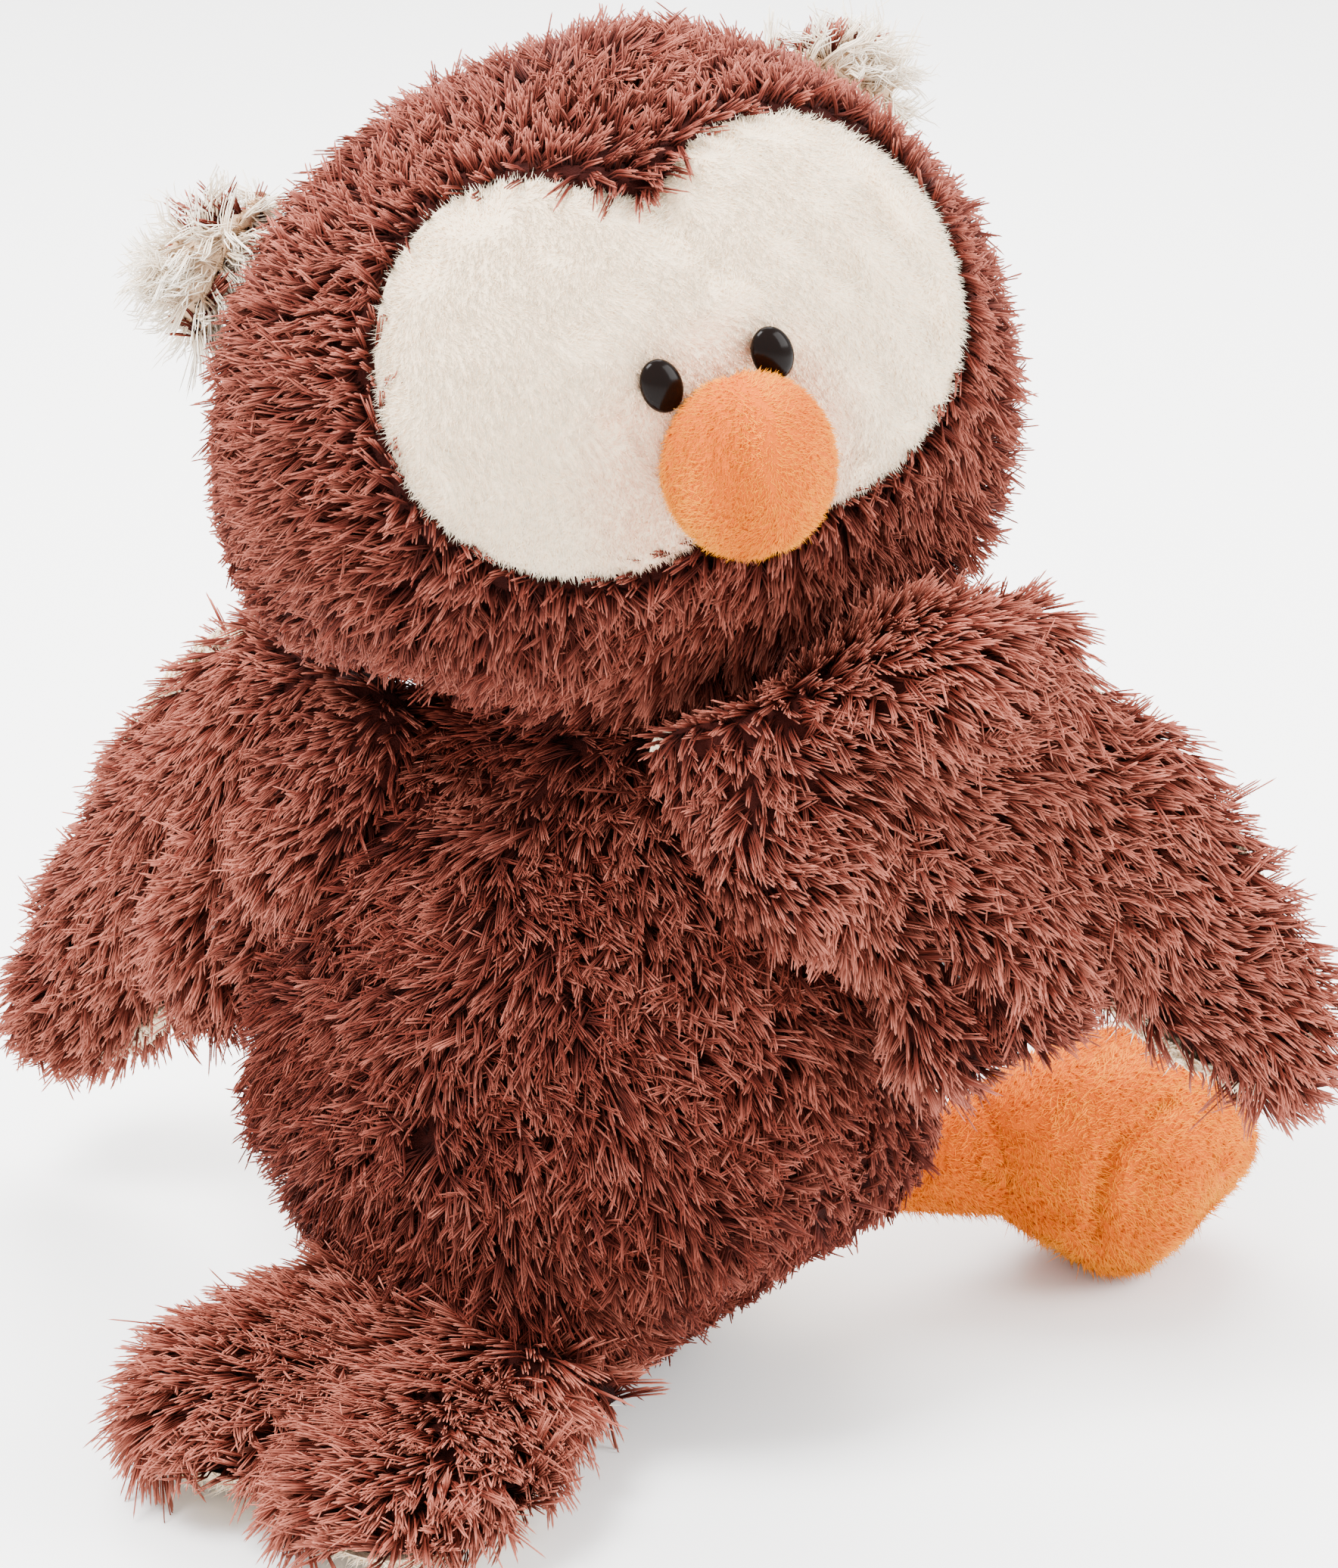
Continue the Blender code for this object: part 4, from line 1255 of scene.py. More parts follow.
    def build_face(self) -> None:
        """Adds the face panel, two soft lobes with a valley between them."""
        face = Form(("face_panel",), 0.0022, 6)
        local = to_local(self.matrix, face.points)
        across = local[:, 0] - 0.002
        height = local[:, 2] - self.middle
        front = face.normals @ turned(self.matrix, np.array([0.0, -1.0, 0.0])) > 0.1
        valley = np.exp(-((across / 0.010) ** 2)) * smooth_step(-0.01, 0.05, height)
        level = self.face_level(face.points)
        brow = self.brow_level
        trim = self.trim_depth * smooth_step(brow, brow + 0.05, level)
        trim = trim + 1.5 * self.trim_depth * smooth_step(brow + 0.03, brow + 0.15, level)
        face.move(np.where(front, 0.0012 - 0.0032 * valley - trim, 0.0), 2)
        pad("face_pad", face, CREAM.backing(), "head", Slot.CREAM, ("face_panel",))
        beak = np.array(self.matrix @ Vector((0.0, -self.beak_reach, self.middle + self.beak_height)))

        def blush(points: Array) -> Array:
            """Peach round the beak."""
            away = np.linalg.norm(points - beak, axis=1)
            return 0.04 + 0.80 * (1.0 - smooth_step(self.beak_radius + 0.001, self.beak_radius + 0.022, away))

        def shown(roots: Array, normals: Array) -> Array:
            """Only the outer side has pile, up to the brow."""
            outer = normals @ turned(self.matrix, np.array([0.0, -1.0, 0.0])) > -0.15
            return outer & (self.face_level(roots) < self.brow_level)

        swirl = Swirl(0.022, 7)
        down = turned(self.matrix, np.array([0.0, 0.0, -1.0]))

        def comb(points: Array, normals: Array) -> Array:
            """The pile runs down, and over the rim at the edge."""
            edge = smooth_step(0.82, 0.98, self.face_level(points))[:, None]
            return 0.8 * down + 0.7 * swirl(points) + 2.0 * edge * self.away_from_lobes(points)

        tufts = coat(face, FACE_PILE, comb, 21, shown, blush)
        height = to_local(self.matrix, tufts.roots)[:, 2] - self.middle
        edge = smooth_step(0.86, 0.98, self.face_level(tufts.roots))
        tufts.length = tufts.length * (1.0 + 0.25 * edge * smooth_step(-0.02, 0.02, height))
        pile_pieces("face_pile", FACE_PILE, tufts, CREAM, "head", 22)

    def away_from_lobes(self, points: Array) -> Array:
        """Works out which way points lie from the middle of the nearer lobe, in the face's plane.

        Args:
            points: The points.

        Returns:
            The directions.
        """
        local = to_local(self.matrix, points)
        height = local[:, 2] - self.middle - self.face_height
        ways = []
        for offset, *_ in self.face_lobes:
            ways.append(np.stack([local[:, 0] - offset, np.zeros(len(points)), height], 1))
        first = np.linalg.norm(ways[0], axis=1) < np.linalg.norm(ways[1], axis=1)
        return turned(self.matrix, unit(np.where(first[:, None], ways[0], ways[1])))

    def build_beak(self) -> None:
        """Adds the beak, a ball of two sewn halves."""
        beak = Form(("beak_cover", "beak_stuffing"), 0.0018, 6)
        local = to_local(self.matrix, beak.points)
        seam = np.exp(-((local[:, 0] / 0.0012) ** 2))
        beak.move(-0.0016 - 0.0008 * seam, 1)
        shift = turned(self.matrix, np.array([self.part_shift, 0.0, 0.6 * self.part_shift]))
        beak.points += shift
        beak.move(np.zeros(len(beak.points)))
        pad("beak_pad", beak, ORANGE.backing(), "head", Slot.ORANGE, ("beak_cover",))
        swirl = Swirl(0.018, 8)
        matrix = self.matrix

        def comb(points: Array, normals: Array) -> Array:
            """The pile runs out from the seam and down."""
            sides = np.tanh((to_local(matrix, points)[:, :1] - self.part_shift) / 0.003)
            run = sides * turned(matrix, np.array([[1.0, 0.0, 0.0]]))
            return run + 0.5 * turned(matrix, np.array([0.0, 0.0, -1.0])) + 0.5 * swirl(points)

        tufts = coat(beak, BEAK_PILE, comb, 23, None, lambda p: 0.5 + 0.35 * swirl.level(p))
        pile_pieces("beak_pile", BEAK_PILE, tufts, ORANGE, "head", 24)

    def build_eyes(self) -> None:
        """Adds the bead eyes, each a smooth dome on the CAD eye's place."""
        for word in ("left", "right"):
            low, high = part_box(f"{word}_eye")
            build = bmesh.new()
            bmesh.ops.create_icosphere(build, subdivisions=4, radius=1.0)
            mesh = bpy.data.meshes.new(f"{word}_eye_bead")
            build.to_mesh(mesh)
            build.free()
            mesh.shade_smooth()
            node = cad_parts[f"{word}_eye"]
            points = np.array([tuple(v.co) for v in node.data.vertices])
            local = to_local(self.matrix, points)
            front = local[local[:, 1] < local[:, 1].min() + self.eye_half[1]]
            middle = front.mean(0)
            middle[0] += self.eye_shift
            middle[1] = local[:, 1].min() + 1.35 * self.eye_half[1]
            lean = Matrix.Rotation(-self.eye_lean, 4, "Y") @ Matrix.Diagonal((*self.eye_half, 1.0))
            mesh.transform(self.matrix @ Matrix.Translation(middle) @ lean)
            piece = add_piece(f"{word}_eye_bead", mesh, GLOSS.material(), "head", Slot.GLOSS)
            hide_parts(f"{word}_eye")
            LOG.info("%s_eye_bead: %s to %s", word, tuple(low), tuple(high))

    def build_ears(self) -> None:
        """Adds the mohair ear tufts."""
        for seed, word in enumerate(("left", "right")):
            ear = Form((f"{word}_ear_tuft",), 0.0018, 4)
            ear.move(np.full(len(ear.points), -0.0050))
            pad(f"{word}_ear_pad", ear, MOHAIR.backing(), "head", Slot.MOHAIR, (f"{word}_ear_tuft",))
            middle = ear.points.mean(0)
            swirl = Swirl(0.012, 31 + seed)
            out = unit(middle - np.array(self.matrix @ Vector((0.0, 0.0, self.middle))))
            inward = turned(self.matrix, np.array([-0.8 if word == "left" else 0.8, 0.0, 0.6]))
            tufts = coat(
                ear,
                MOHAIR_PILE,
                lambda p, n: out + 1.0 * swirl(p) + np.array([0.0, 0.0, -0.25]),
                33 + seed,
                lambda roots, normals: normals @ inward < self.ear_split + 0.1,
                lambda p: 0.75 + 0.35 * swirl.level(p),
            )
            pile_pieces(f"{word}_ear_pile", MOHAIR_PILE, tufts, MOHAIR, "head", 35 + seed)
            tufts = coat(
                ear,
                EAR_PILE,
                lambda p, n: out + 0.6 * swirl(p),
                37 + seed,
                lambda roots, normals: normals @ inward > self.ear_split - 0.1,
                lambda p: 0.6 + 0.12 * swirl.level(p),
            )
            pile_pieces(f"{word}_ear_brown_pile", EAR_PILE, tufts, BROWN, "head", 39 + seed)


@dataclass
class Body:
    """The pear of the body, with a cream belly panel on its front."""

    inset: float = 0.0070
    places: tuple = (
        (68, 39, 62, 18, 6.5),
        (69, 37, 82, 18, 6.0),
        (54, 39, 37, 18, 5.8),
        (-69, -27, 46, 16, 3.0),
        (-40, -28, 21, 16, 3.2),
        (-30, 5, 8, 16, -3.5),
        (-54, 6, 25, 18, -8.0),
        (-72, -42, 64, 18, 5.0),
        (-78, -28, 66, 18, 4.0),
        (47, 2, 164, 14, 4.0),
    )
    seam_places: tuple = ((0.000, 0.006), (0.180, -0.004))
    panel_half_width: float = 0.071
    panel_half_height: float = 0.067
    panel_height: float = 0.084
    panel_start: float = -0.020
    # Painted light: the pile's shade number rises with height, darker low down where less light falls
    shade_start: float = 0.12
    painted_light_slope: float = 1.7
    shade_height: float = 0.06
    form: Form = field(init=False, default=None)

    def prepare(self) -> None:
        """Grows the body's form, which stays on the ground where it sits."""
        self.form = Form(("body_cover", "belly_panel", "body_stuffing", "body_disc"), 0.0035, 8)

    def draw_in(self, others: list) -> None:
        """Draws the form in, less near the ground.

        Args:
            others: Search trees of the forms next to it, as they were grown.
        """
        ease = smooth_step(0.0, 0.022, self.form.points[:, 2])
        self.form.draw_in(0.0006 + self.inset * ease, others, self.places)

    def in_panel(self, points: Array, margin: float) -> Array:
        """Which points lie in front of the belly panel.

        Args:
            points: The points.
            margin: How far inside its outline they have to be.

        Returns:
            A truth value for each.
        """
        across = points[:, 0] / (self.panel_half_width - margin)
        height = (points[:, 2] - self.panel_height) / (self.panel_half_height - margin)
        return (across**2 + height**2 < 1.0) & (points[:, 1] < self.panel_start)

    def comb(self, points: Array, normals: Array) -> Array:
        """Combs the pile down, and away from the seam of the back.

        Args:
            points: The roots.
            normals: Not used.

        Returns:
            The directions.
        """
        (low, low_x), (high, high_x) = self.seam_places
        seam = low_x + (high_x - low_x) * (points[:, 2] - low) / (high - low)
        side = np.tanh((points[:, 0] - seam) / 0.004)
        run = np.stack([0.6 * side, np.zeros(len(points)), np.full(len(points), -0.85)], 1)
        return wandered(run, points, 9, 0.55, 0.45)

    def shade(self, points: Array) -> Array:
        """Paints light and shade into the pile: lighter towards the shoulders, darker low down.

        Args:
            points: The roots.

        Returns:
            The shades.
        """
        light = self.shade_start + self.painted_light_slope * (points[:, 2] - self.shade_height)
        return light + PATCH_SHARE * Swirl(PATCH_SIZE, 6).level(points)

    def build(self, others: list) -> None:
        """Adds the body's pieces.

        Args:
            others: Search trees of the forms next to it.
        """
        pad("body_skin", self.form, BROWN.backing(), "body", Slot.BROWN, ("body_cover",))
        tufts = coat(
            self.form,
            LONG_PILE,
            self.comb,
            41,
            keep=lambda roots, normals: ~self.in_panel(roots, 0.0015),
            shade=self.shade,
        )
        tufts = settled(tufts, others)
        pile_pieces("body_pile", LONG_PILE, tufts, BROWN, "body", 42)
        belly = Form(("belly_panel",), 0.0026, 6)
        belly.move(np.full(len(belly.points), -0.0008))
        pad("belly_pad", belly, CREAM.backing(), "body", Slot.CREAM, ("belly_panel",))
        add_nap(
            "belly_pile",
            belly,
            "body",
            (0.0, 0.0, -0.6),
            lambda roots, normals: normals[:, 1] < 0.3,
            (10, 43, 44),
        )


@dataclass
class Wing:
    """A wing of three rounded lobes, brown outside and lined with short cream pile."""

    word: str
    side: float
    reach: float
    height: float
    swing: float
    raised: float
    seed: int
    places: tuple
    bare: tuple
    back: float = 0.009
    inset: float = 0.0058
    lining_depth: float = 0.0020
    lining_height: float = 0.0018
    lining_sink: float = 0.0035
    lining_clearance: float = 0.0030
    valley_depth: float = 0.0085
    valley_width: float = 0.0062
    # Painted light and shade: the pile's overall level is set lighter than the body's where more light falls, and it
    # darkens in the dips between lobes and at the root, where shade gathers
    shade_start: float = 0.76
    valley_painted_shade: float = 0.80
    root_painted_shade: float = 0.45
    fan: float = 14.0
    surface_swing: float = math.radians(-14.0)
    lobes: tuple = (
        ((0.028, 0.002, -0.010), (0.082, -0.008, -0.050)),
        ((0.054, -0.006, -0.016), (0.121, -0.029, -0.130)),
        ((0.030, 0.004, -0.020), (0.067, 0.007, -0.102)),
        ((0.008, 0.012, -0.012), (0.026, 0.021, -0.049)),
    )
    form: Form = field(init=False, default=None)
    matrix: Matrix = field(init=False, default=None)

    @property
    def body(self) -> str:
        """The CAD body that the wing is."""
        return f"{self.word}_wing"

    def outward(self) -> Array:
        """The way that the brown side faces, in the row frame."""
        facing = Matrix.Rotation(self.side * self.surface_swing, 3, "Z") @ Vector((0.0, 1.0, 0.0))
        return turned(self.matrix, np.array(facing))

    def prepare(self) -> None:
        """Grows the wing's form and works out its frame."""
        place = Matrix.Translation((self.side * self.reach, self.back, self.height))
        swing = Matrix.Rotation(self.side * self.swing, 4, "Z")
        self.matrix = place @ swing @ Matrix.Rotation(-self.side * self.raised, 4, "Y")
        names = tuple(f"{self.word}_wing_{part}" for part in ("cover", "lining", "stuffing"))
        self.form = Form(names, 0.0032, 6)

    def draw_in(self, others: list) -> None:
        """Draws the form in, most on its brown side and between its lobes.

        Args:
            others: Search trees of the forms next to it, as they were grown.
        """
        facing = self.form.normals @ self.outward()
        inset = 0.0026 + (self.inset - 0.0026) * smooth_step(-0.5, 0.4, facing)
        valley = self.valley_depth * self.valley(self.form.points)
        self.form.draw_in(inset + valley, others, self.places)

    def valley(self, points: Array) -> Array:
        """Measures how deep in the dip between two of the three lobes points lie.

        Args:
            points: The points.

        Returns:
            Shares from 0 to 1.
        """
        local = to_local(self.matrix, points)
        local[:, 0] *= self.side
        away = []
        for root, tip in self.lobes[1:]:
            away.append(np.linalg.norm(from_line(local, np.array(root), np.array(tip), 1.3), axis=1))
        first, second = np.sort(np.stack(away), axis=0)[:2]
        low_down = smooth_step(self.lobes[0][0][2] - 0.015, self.lobes[0][0][2] - 0.045, local[:, 2])
        return np.exp(-(((second - first) / self.valley_width) ** 2)) * low_down

    def free(self, points: Array) -> Array:
        """How far points are from the wing's root, from 0 there to 1."""
        return smooth_step(0.010, 0.050, np.linalg.norm(to_local(self.matrix, points), axis=1))

    def covered(self, points: Array) -> Array:
        """Finds the points that the brown pile may stand on, away from the edge that shows the lining.

        Args:
            points: The points.

        Returns:
            A truth value for each.
        """
        found = np.ones(len(points), bool)
        for *middle, radius in self.bare:
            found &= np.linalg.norm(points / MM - np.array(middle), axis=1) > radius
        return found

    def comb(self, points: Array, normals: Array) -> Array:
        """Combs the pile along the nearest lobe and out towards its edges.

        Args:
            points: The roots.
            normals: Not used.

        Returns:
            The directions.
        """
        local = to_local(self.matrix, points)
        local[:, 0] *= self.side
        run = fanned(local, self.lobes, self.fan)
        run[:, 0] *= self.side
        run = turned(self.matrix, unit(run))
        wander = wandered(0.0, points, 60 + self.seed, 0.40)
        return run + np.array([0.0, 0.0, -0.2]) + wander

    def shade(self, points: Array) -> Array:
        """Paints light and shade into the pile: darker in the dips between lobes and at the root.

        Args:
            points: The roots.

        Returns:
            The shades.
        """
        light = self.shade_start + PATCH_SHARE * Swirl(PATCH_SIZE, 70 + self.seed).level(points)
        return light - self.valley_painted_shade * self.valley(points) - self.root_painted_shade * (1.0 - self.free(points))

    def lining_form(self) -> Form:
        """Grows the lining's form, drawn to the wing and sunk into it where its edge would show.

        Returns:
            The form.
        """
        lining = Form((f"{self.word}_wing_lining",), 0.0022, 3)
        lining.move(np.full(len(lining.points), -0.0006), 1)
        sunk = self.lining_sink * (1.0 - self.free(lining.points))
        lining.wrap(self.form.tree(), -self.lining_depth - sunk, self.lining_height - 1.5 * sunk)
        edge = smooth_step(-0.4, 0.0, lining.normals @ self.outward()) * self.covered(lining.points)
        edge = np.maximum(edge, smooth_step(0.0, 0.3, lining.normals[:, 2]))
        return lining.move(-self.lining_sink * edge, 1)

    def build(self, others: list) -> None:
        """Adds the wing's pieces.

        Args:
            others: Search trees of the forms next to it.
        """
        node = f"{self.word}_wing"
        pad(f"{node}_skin", self.form, BROWN.backing(), self.body, Slot.BROWN, (f"{node}_cover",))
        outward = self.outward()
        lining = self.lining_form()
        tree = lining.tree()

        def brown(roots: Array, normals: Array) -> Array:
            """Keeps pile on the outer side, and on what the lining leaves free.

            Args:
                roots: The roots.
                normals: The normals there.

            Returns:
                A truth value for each.
            """
            outer = normals @ outward > -0.2 - 0.5 * normals[:, 2].clip(0.0)
            away = np.array([tree.find_nearest(root)[3] for root in roots.tolist()])
            return (outer | (away > self.lining_clearance)) & self.covered(roots)

        def lined(roots: Array, normals: Array) -> Array:
            """The inner side has a nap, but not near the wing's root."""
            inner = (normals @ outward < 0.25) & (normals[:, 2] < 0.3)
            return inner & (self.free(roots) > 0.3)

        tufts = coat(self.form, LONG_PILE, self.comb, 50 + self.seed, brown, self.shade)
        tufts.length = tufts.length * (0.95 - 0.50 * self.valley(tufts.roots))
        tufts.length = tufts.length * (0.55 + 0.45 * self.free(tufts.roots))
        tufts = settled(tufts, others)
        pile_pieces(f"{node}_pile", LONG_PILE, tufts, BROWN, self.body, 52 + self.seed)
        pad(f"{node}_lining_pad", lining, CREAM.backing(), self.body, Slot.CREAM, (f"{node}_lining",))
        seeds = (80 + self.seed, 54 + self.seed, 56 + self.seed)
        add_nap(f"{node}_lining_pile", lining, self.body, (0.0, 0.0, -0.8), lined, seeds)


# Each wing's bulges and dents, and where its lining shows at the edge, all in millimetres
LEFT_PLACES = (
    (92, 12, 182, 12, 3.0),
    (108, 11, 177, 16, -7.0),
    (122, 12, 164, 18, -10.0),
    (135, 10, 147, 18, -5.5),
    (155, 4, 118, 18, -1.3),
    (170, 0, 83, 18, 4.5),
    (172, 1, 48, 18, 15.0),
    (152, 2, 41, 18, -5.1),
    (112, 23, 63, 20, -11.0),
    (42, 18, 168, 12, 5.0),
)
LEFT_BARE = ((146, 4, 44, 7),)
RIGHT_PLACES = (
    (-91, -6, 199, 20, 20.0),
    (-101, -25, 204, 18, 7.0),
    (-70, 6, 188, 16, 8.0),
    (-114, -37, 193, 18, 2.0),
    (-134, -52, 168, 18, 6.1),
    (-146, -60, 142, 18, 3.0),
    (-161, -69, 96, 18, 3.0),
    (-156, -64, 90, 14, 7.0),
    (-72, 15, 141, 13, 10.0),
    (-98, -4, 107, 14, 13.0),
    (-112, -8, 104, 14, 6.0),
)
RIGHT_BARE = (
    (-127, -42, 110, 7),
    (-132, -50, 99, 7),
    (-139, -54, 93, 8),
    (-146, -58, 90, 8),
)


@dataclass
class Leg:
    """A short leg with a wedge foot of orange short pile."""

    word: str
    side: float
    seed: int
    splay: float = math.radians(38.0)
    crease: tuple = (
        (0.102, -0.108, 0.056),
        (0.095, -0.091, 0.045),
        (0.094, -0.088, 0.031),
        (0.093, -0.089, 0.014),
    )
    places: tuple = (
        (-72, -98, 6, 16, -6.0),
        (-60, -88, 46, 18, 9.0),
        (-66, -96, 34, 16, 5.0),
        (-116, -122, 20, 18, -7.5),
        (-105, -108, 8, 18, -2.0),
    )
    # Painted shadow: the leg's pile darkens towards the body's middle, under the body, inside these distances from
    # the middle
    shadow: tuple = (0.062, 0.086)
    crease_depth: float = 0.0030
    crease_width: float = 0.0022
    hollow_depth: float = 0.0022
    hollow_width: float = 0.0110
    hollow_shift: tuple = (0.0095, -0.0060, 0.0)
    form: Form = field(init=False, default=None)

    def away_from_crease(self, points: Array, shift: tuple) -> Array:
        """How far points lie from the crease over the foot.

        Args:
            points: The points.
            shift: How far the crease is moved first.

        Returns:
            The distances.
        """
        line = np.array(self.crease) + np.array(shift)
        line[:, 0] *= self.side
        best = np.full(len(points), np.inf)
        for start, end in zip(line[:-1], line[1:]):
            best = np.minimum(best, np.linalg.norm(from_line(points, start, end), axis=1))
        return best

    def dip(self, shift: tuple, width: float) -> Array:
        """How deep in a dip along the crease the form's points lie, from 0 to 1."""
        return np.exp(-((self.away_from_crease(self.form.points, shift) / width) ** 2))

    def prepare(self) -> None:
        """Grows the leg's form; draw_in sews the crease over the foot."""
        node = f"{self.word}_leg"
        self.form = Form((f"{node}_cover", f"{node}_stuffing"), 0.0019, 7)

    def draw_in(self, others: list) -> None:
        """Draws the form in a little, and most along the crease.

        Args:
            others: Not used.
        """
        ease = smooth_step(0.0, 0.006, self.form.points[:, 2])
        crease = self.dip((0.0, 0.0, 0.0), self.crease_width)
        hollow = self.dip(self.hollow_shift, self.hollow_width)
        inset = 0.0004 + 0.0008 * ease + self.crease_depth * crease + self.hollow_depth * hollow
        places = [(-self.side * across, *rest) for across, *rest in self.places]
        self.form.draw_in(inset, [], places, 1)

    def build(self) -> None:
        """Adds the leg's pieces."""
        node = f"{self.word}_leg"
        form = self.form
        pad(f"{node}_skin", form, ORANGE.backing(), node, Slot.ORANGE, (f"{node}_cover",))
        swirl = Swirl(0.020, 90 + self.seed)
        splay = self.side * self.splay
        ahead = np.array([math.sin(splay), -math.cos(splay), 0.0])
        # Painted shadow: the shade number drops by one near the body's middle, where the stalk sits under the body,
        # besides random patches
        tufts = coat(
            form,
            SHORT_PILE,
            lambda p, n: ahead + np.array([0.0, 0.0, -0.5]) + 0.8 * swirl(p),
            91 + self.seed,
            None,
            lambda p: 0.5 + 0.4 * swirl.level(p) - 1.0 + smooth_step(*self.shadow, np.abs(p[:, 0])),
        )
        pile_pieces(f"{node}_pile", SHORT_PILE, tufts, ORANGE, node, 93 + self.seed)


@dataclass
class Tail:
    """The two-lobed tail, brown above and cream underneath."""

    inset: float = 0.0068
    places: tuple = (
        (-40, 40, 17, 20, -8.0),
        (-48, 65, 13, 18, -6.5),
        (-11, 135, 12, 16, -4.0),
        (46, 66, 28, 18, 6.4),
        (45, 97, 32, 18, 2.7),
        (45, 113, 30, 18, 1.9),
        (39, 131, 12, 18, -1.8),
        (18, 133, 12, 18, -8.0),
        (-7, 134, 13, 14, 4.0),
        (45, 97, 32, 16, 2.5),
    )
    hinge: tuple = (0.0, 0.073, 0.038)
    lobes: tuple = (((0.014, -0.020), (0.032, 0.066)), ((-0.016, -0.017), (-0.027, 0.070)))
    # Painted light: the tail's overall level is raised above the body's pile
    shade_start: float = 0.95
    fan: float = 26.0
    form: Form = field(init=False, default=None)

    def prepare(self) -> None:
        """Grows the tail's form."""
        self.form = Form(("tail_cover", "tail_lining", "tail_stuffing"), 0.0032, 6)

    def draw_in(self, others: list) -> None:
        """Draws the form in, less near the ground.

        Args:
            others: Search trees of the forms next to it, as they were grown.
        """
        ease = smooth_step(0.0, 0.020, self.form.points[:, 2])
        self.form.draw_in(0.0010 + (self.inset - 0.0010) * ease, others, self.places)

    def comb(self, points: Array, normals: Array) -> Array:
        """Combs the pile along the nearest lobe and out towards its edges.

        Args:
            points: The roots.
            normals: Not used.

        Returns:
            The directions.
        """
        run = np.full_like(points, -0.1)
        run[:, :2] = fanned(points[:, :2] - np.array(self.hinge[:2]), self.lobes, self.fan)
        return wandered(unit(run), points, 15)

    def shade(self, points: Array) -> Array:
        """Paints light into the pile: it is set lighter than the body's, where more light falls, with random patches.
        """
        return self.shade_start + PATCH_SHARE * Swirl(PATCH_SIZE, 16).level(points)

    def build(self, others: list) -> None:
        """Adds the tail's pieces.

        Args:
            others: Search trees of the forms next to it.
        """
        pad("tail_skin", self.form, BROWN.backing(), "tail", Slot.BROWN, ("tail_cover",))
        tufts = coat(
            self.form,
            TAIL_PILE,
            self.comb,
            101,
            keep=lambda roots, normals: (roots[:, 2] > 0.0085) & (normals[:, 2] > -0.6),
            shade=self.shade,
        )
        tufts = settled(tufts, others)
        pile_pieces("tail_pile", TAIL_PILE, tufts, BROWN, "tail", 102)
        lining = Form(("tail_lining",), 0.0022, 3)
        lining.move(np.full(len(lining.points), -0.0004), 1)
        lining.wrap(self.form.tree(), -0.0020, 0.0018)
        pad("tail_lining_pad", lining, CREAM.backing(), "tail", Slot.CREAM, ("tail_lining",))
        add_nap(
            "tail_lining_pile",
            lining,
            "tail",
            (0.0, 1.0, 0.0),
            lambda roots, normals: normals[:, 2] < 0.5,
            (17, 103, 104),
        )


@dataclass
class Insides:
    """What is sewn inside: fibre fill, the bag of pellets, washers and the neck joint."""

    fills: tuple = (
        ("body_stuffing", "body"),
        ("head_stuffing", "head"),
        ("beak_stuffing", "head"),
        ("left_wing_stuffing", "left_wing"),
        ("right_wing_stuffing", "right_wing"),
        ("left_leg_stuffing", "left_leg"),
        ("right_leg_stuffing", "right_leg"),
        ("tail_stuffing", "tail"),
    )
    hard: tuple = (
        (WHITE, ("left_eye_washer", "right_eye_washer")),
        (BOARD, ("body_disc", "head_disc")),
        (ZINC, ("body_washer", "head_washer", "neck_bolt", "neck_nut")),
    )

    def build(self, skins: dict) -> None:
        """Adds the fillings and finishes the hard parts.

        Args:
            skins: Search trees of the skins round the fillings, by body.
        """
        material = FILL.material()
        for node, body in self.fills:
            form = Form((node,), 0.0050 if node != "beak_stuffing" else 0.0030, 4)
            lumps = Swirl(0.020, len(node)).level(form.points)
            form.move(-0.0022 + 0.0008 * lumps)
            if node != "beak_stuffing":
                form.wrap(skins[body], -1.0, -0.0022)
            pad(f"{node}_fibre", form, material, body, Slot.FILL, (node,))
        bag = Form(("pellet_bag",), 0.0030, 4)
        bag.move(-0.0006 + 0.0006 * Swirl(0.006, 4).level(bag.points), 0)
        pad("pellet_bag_cloth", bag, PELLETS.material(), "body", Slot.PELLETS, ("pellet_bag",))
        for finish, nodes in self.hard:
            made = finish.material()
            for node in nodes:
                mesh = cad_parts[node].data
                mesh.materials.clear()
                mesh.materials.append(made)


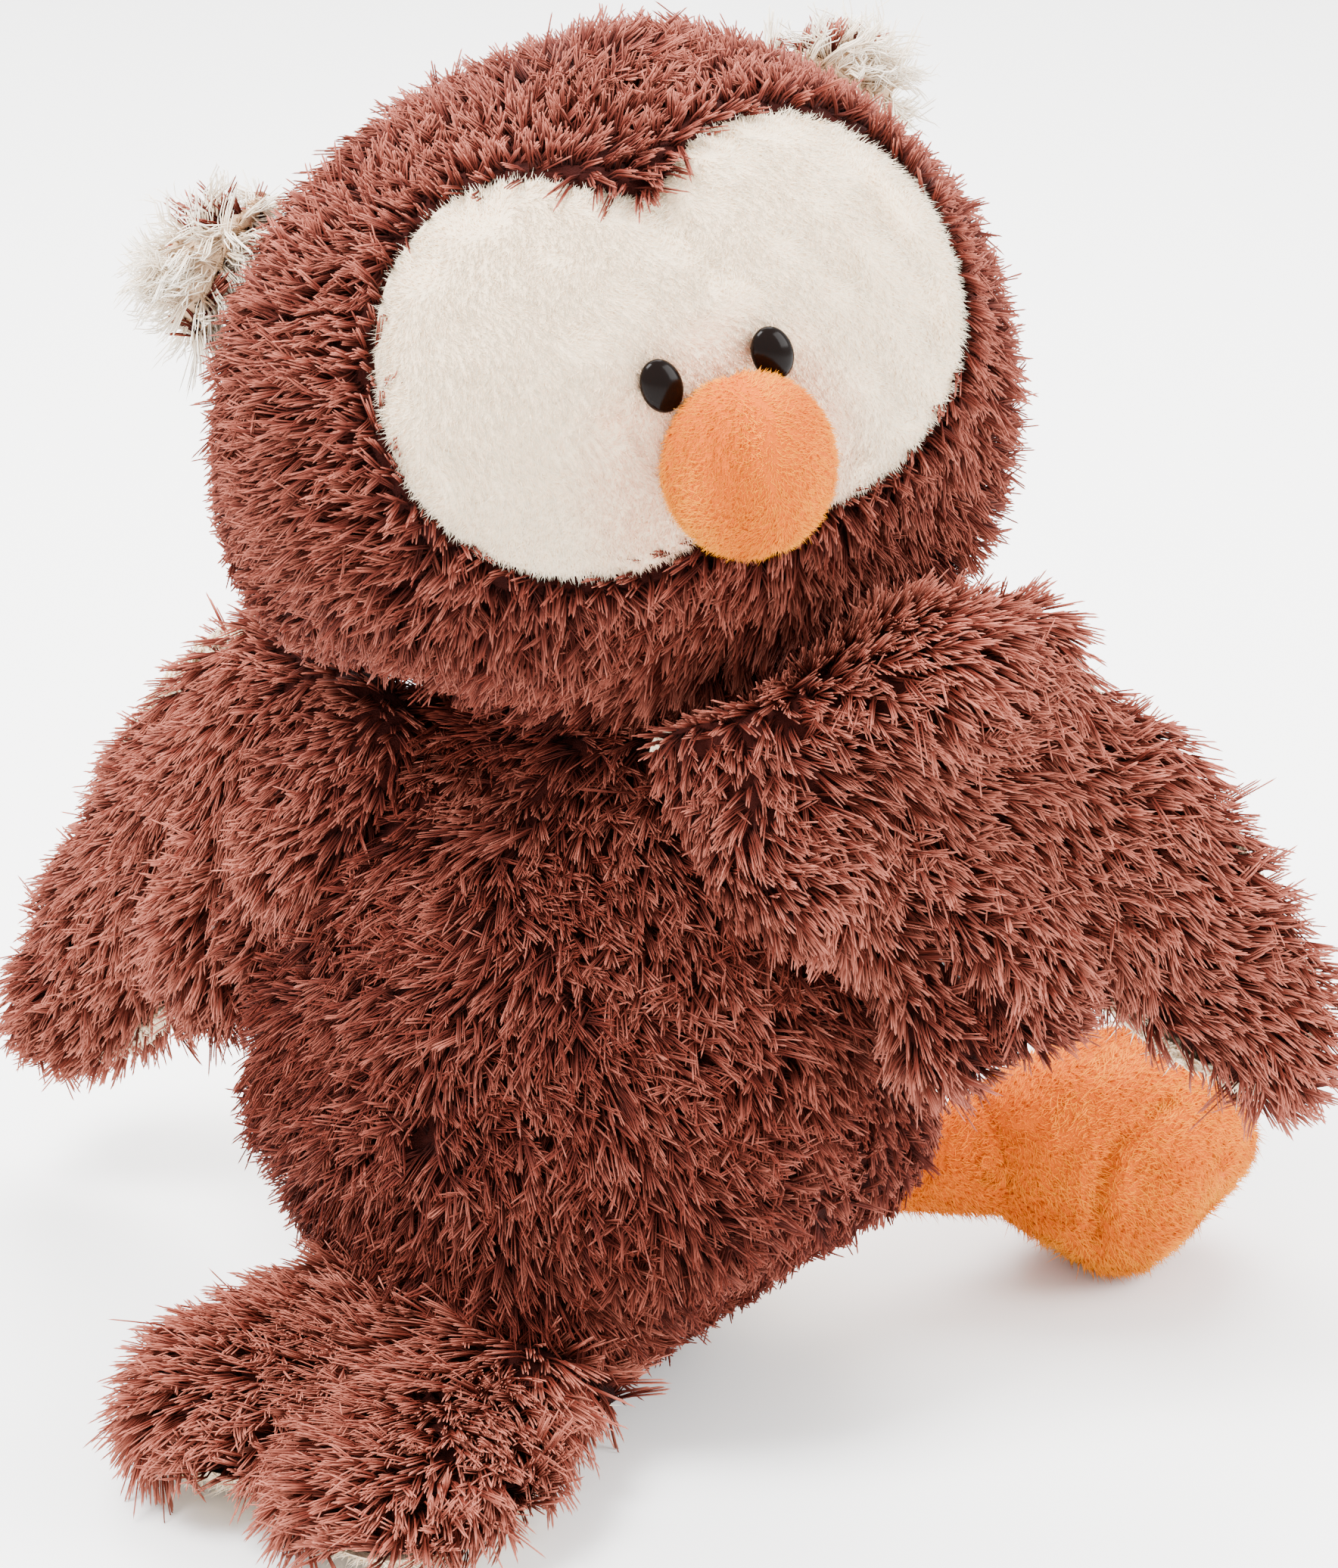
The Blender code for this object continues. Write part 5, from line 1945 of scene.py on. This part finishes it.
@dataclass
class Studio:
    """A pale floor, soft lights and the camera at the photo's angle."""

    azimuth: float = math.radians(215.0)
    elevation: float = math.radians(22.0)
    distance: float = 1.5
    target_right: float = 0.01976
    target_up: float = 0.14174
    focal: float = 7895.0
    frame_height: float = 2072.0
    sensor: float = 36.0
    world_strength: float = 2.4
    lamps: tuple = (
        ("key", (0.9, -0.7, 1.1), 0.7, 76.0),
        ("side", (0.5, 1.2, 0.5), 0.9, 34.0),
        ("top", (-0.3, 0.0, 1.4), 1.2, 60.0),
    )

    def build(self) -> None:
        """Adds the camera, the floor and the lights."""
        azimuth, elevation = self.azimuth, self.elevation
        back = Vector(
            (
                math.sin(azimuth) * math.cos(elevation),
                -math.cos(azimuth) * math.cos(elevation),
                math.sin(elevation),
            )
        )
        right = Vector((math.cos(azimuth), math.sin(azimuth), 0.0))
        up = back.cross(right)
        target = right * self.target_right + up * self.target_up
        data = bpy.data.cameras.new("camera")
        data.sensor_width = self.sensor
        data.lens = self.sensor * self.focal / self.frame_height
        data.dof.use_dof = False
        data.clip_end = 50.0
        camera = linked("camera", data)
        camera.location = target + back * self.distance
        camera.rotation_mode = "QUATERNION"
        camera.rotation_quaternion = (-back).to_track_quat("-Z", "Y")
        bpy.context.scene.camera = camera
        self.floor()
        for name, (behind, aside, above), size, power in self.lamps:
            self.light(name, target + back * behind + right * aside + up * above, target, size, power)
        world = bpy.data.worlds.new("studio")
        world.use_nodes = True
        backdrop = world.node_tree.nodes["Background"]
        backdrop.inputs["Color"].default_value = (1.0, 0.99, 0.975, 1.0)
        backdrop.inputs["Strength"].default_value = self.world_strength
        bpy.context.scene.world = world

    def floor(self) -> None:
        """Adds the floor."""
        build = bmesh.new()
        bmesh.ops.create_grid(build, x_segments=8, y_segments=8, size=6.0)
        mesh = bpy.data.meshes.new("floor")
        build.to_mesh(mesh)
        build.free()
        tree = Tree("floor")
        tree.set(Base_Color=(0.93, 0.93, 0.925, 1.0), Roughness=0.9)
        mesh.materials.append(tree.material)
        linked("floor", mesh)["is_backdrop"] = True

    def light(self, name: str, place: Vector, target: Vector, size: float, power: float) -> None:
        """Adds a soft square light.

        Args:
            name: Its name.
            place: Where it stands.
            target: What it points at.
            size: The length of its sides.
            power: Its power in watts.
        """
        data = bpy.data.lights.new(name, "AREA")
        data.shape = "SQUARE"
        data.size = size
        data.energy = power
        lamp = linked(name, data)
        lamp.location = place
        lamp.rotation_mode = "QUATERNION"
        lamp.rotation_quaternion = (place - target).to_track_quat("Z", "Y")


# Which forms press on each part's pile and paint shadow onto it
NEIGHBOURS = {
    "head": ("body", "left_wing", "right_wing"),
    "body": ("head", "left_wing", "right_wing", "tail"),
    "left_wing": ("head", "body"),
    "right_wing": ("head", "body"),
    "tail": ("body",),
}


def main() -> None:
    """Builds the studio and the owl."""
    logging.basicConfig(level=logging.INFO, format="%(name)s %(message)s")
    for name in ("Cube", "Light", "Camera"):
        if name in bpy.data.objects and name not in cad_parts:
            bpy.data.objects.remove(bpy.data.objects[name])
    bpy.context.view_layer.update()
    Studio().build()
    owl = {
        "head": Head(),
        "body": Body(),
        "left_wing": Wing("left", 1.0, 0.050, 0.163, math.radians(5.0), 0.0, 1, LEFT_PLACES, LEFT_BARE),
        "right_wing": Wing(
            "right", -1.0, 0.0424, 0.173, math.radians(25.0), math.radians(13.0), 2, RIGHT_PLACES, RIGHT_BARE
        ),
        "tail": Tail(),
    }
    legs = (Leg("left", 1.0, 0), Leg("right", -1.0, 5))
    for part in (*owl.values(), *legs):
        part.prepare()
    grown = {name: part.form.tree() for name, part in owl.items()}
    for name, part in owl.items():
        part.draw_in([tree for other, tree in grown.items() if other != name])
    for leg in legs:
        leg.draw_in([])
    skins = {name: part.form.tree() for name, part in owl.items()}
    for name, others in NEIGHBOURS.items():
        owl[name].build([skins[other] for other in others])
    for leg in legs:
        leg.build()
        skins[f"{leg.word}_leg"] = leg.form.tree()
    Insides().build(skins)
    count = sum(len(piece.data.loop_triangles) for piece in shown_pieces() if piece.type == "MESH")
    LOG.info("triangles: %d", count)


if __name__ == "__main__":
    main()
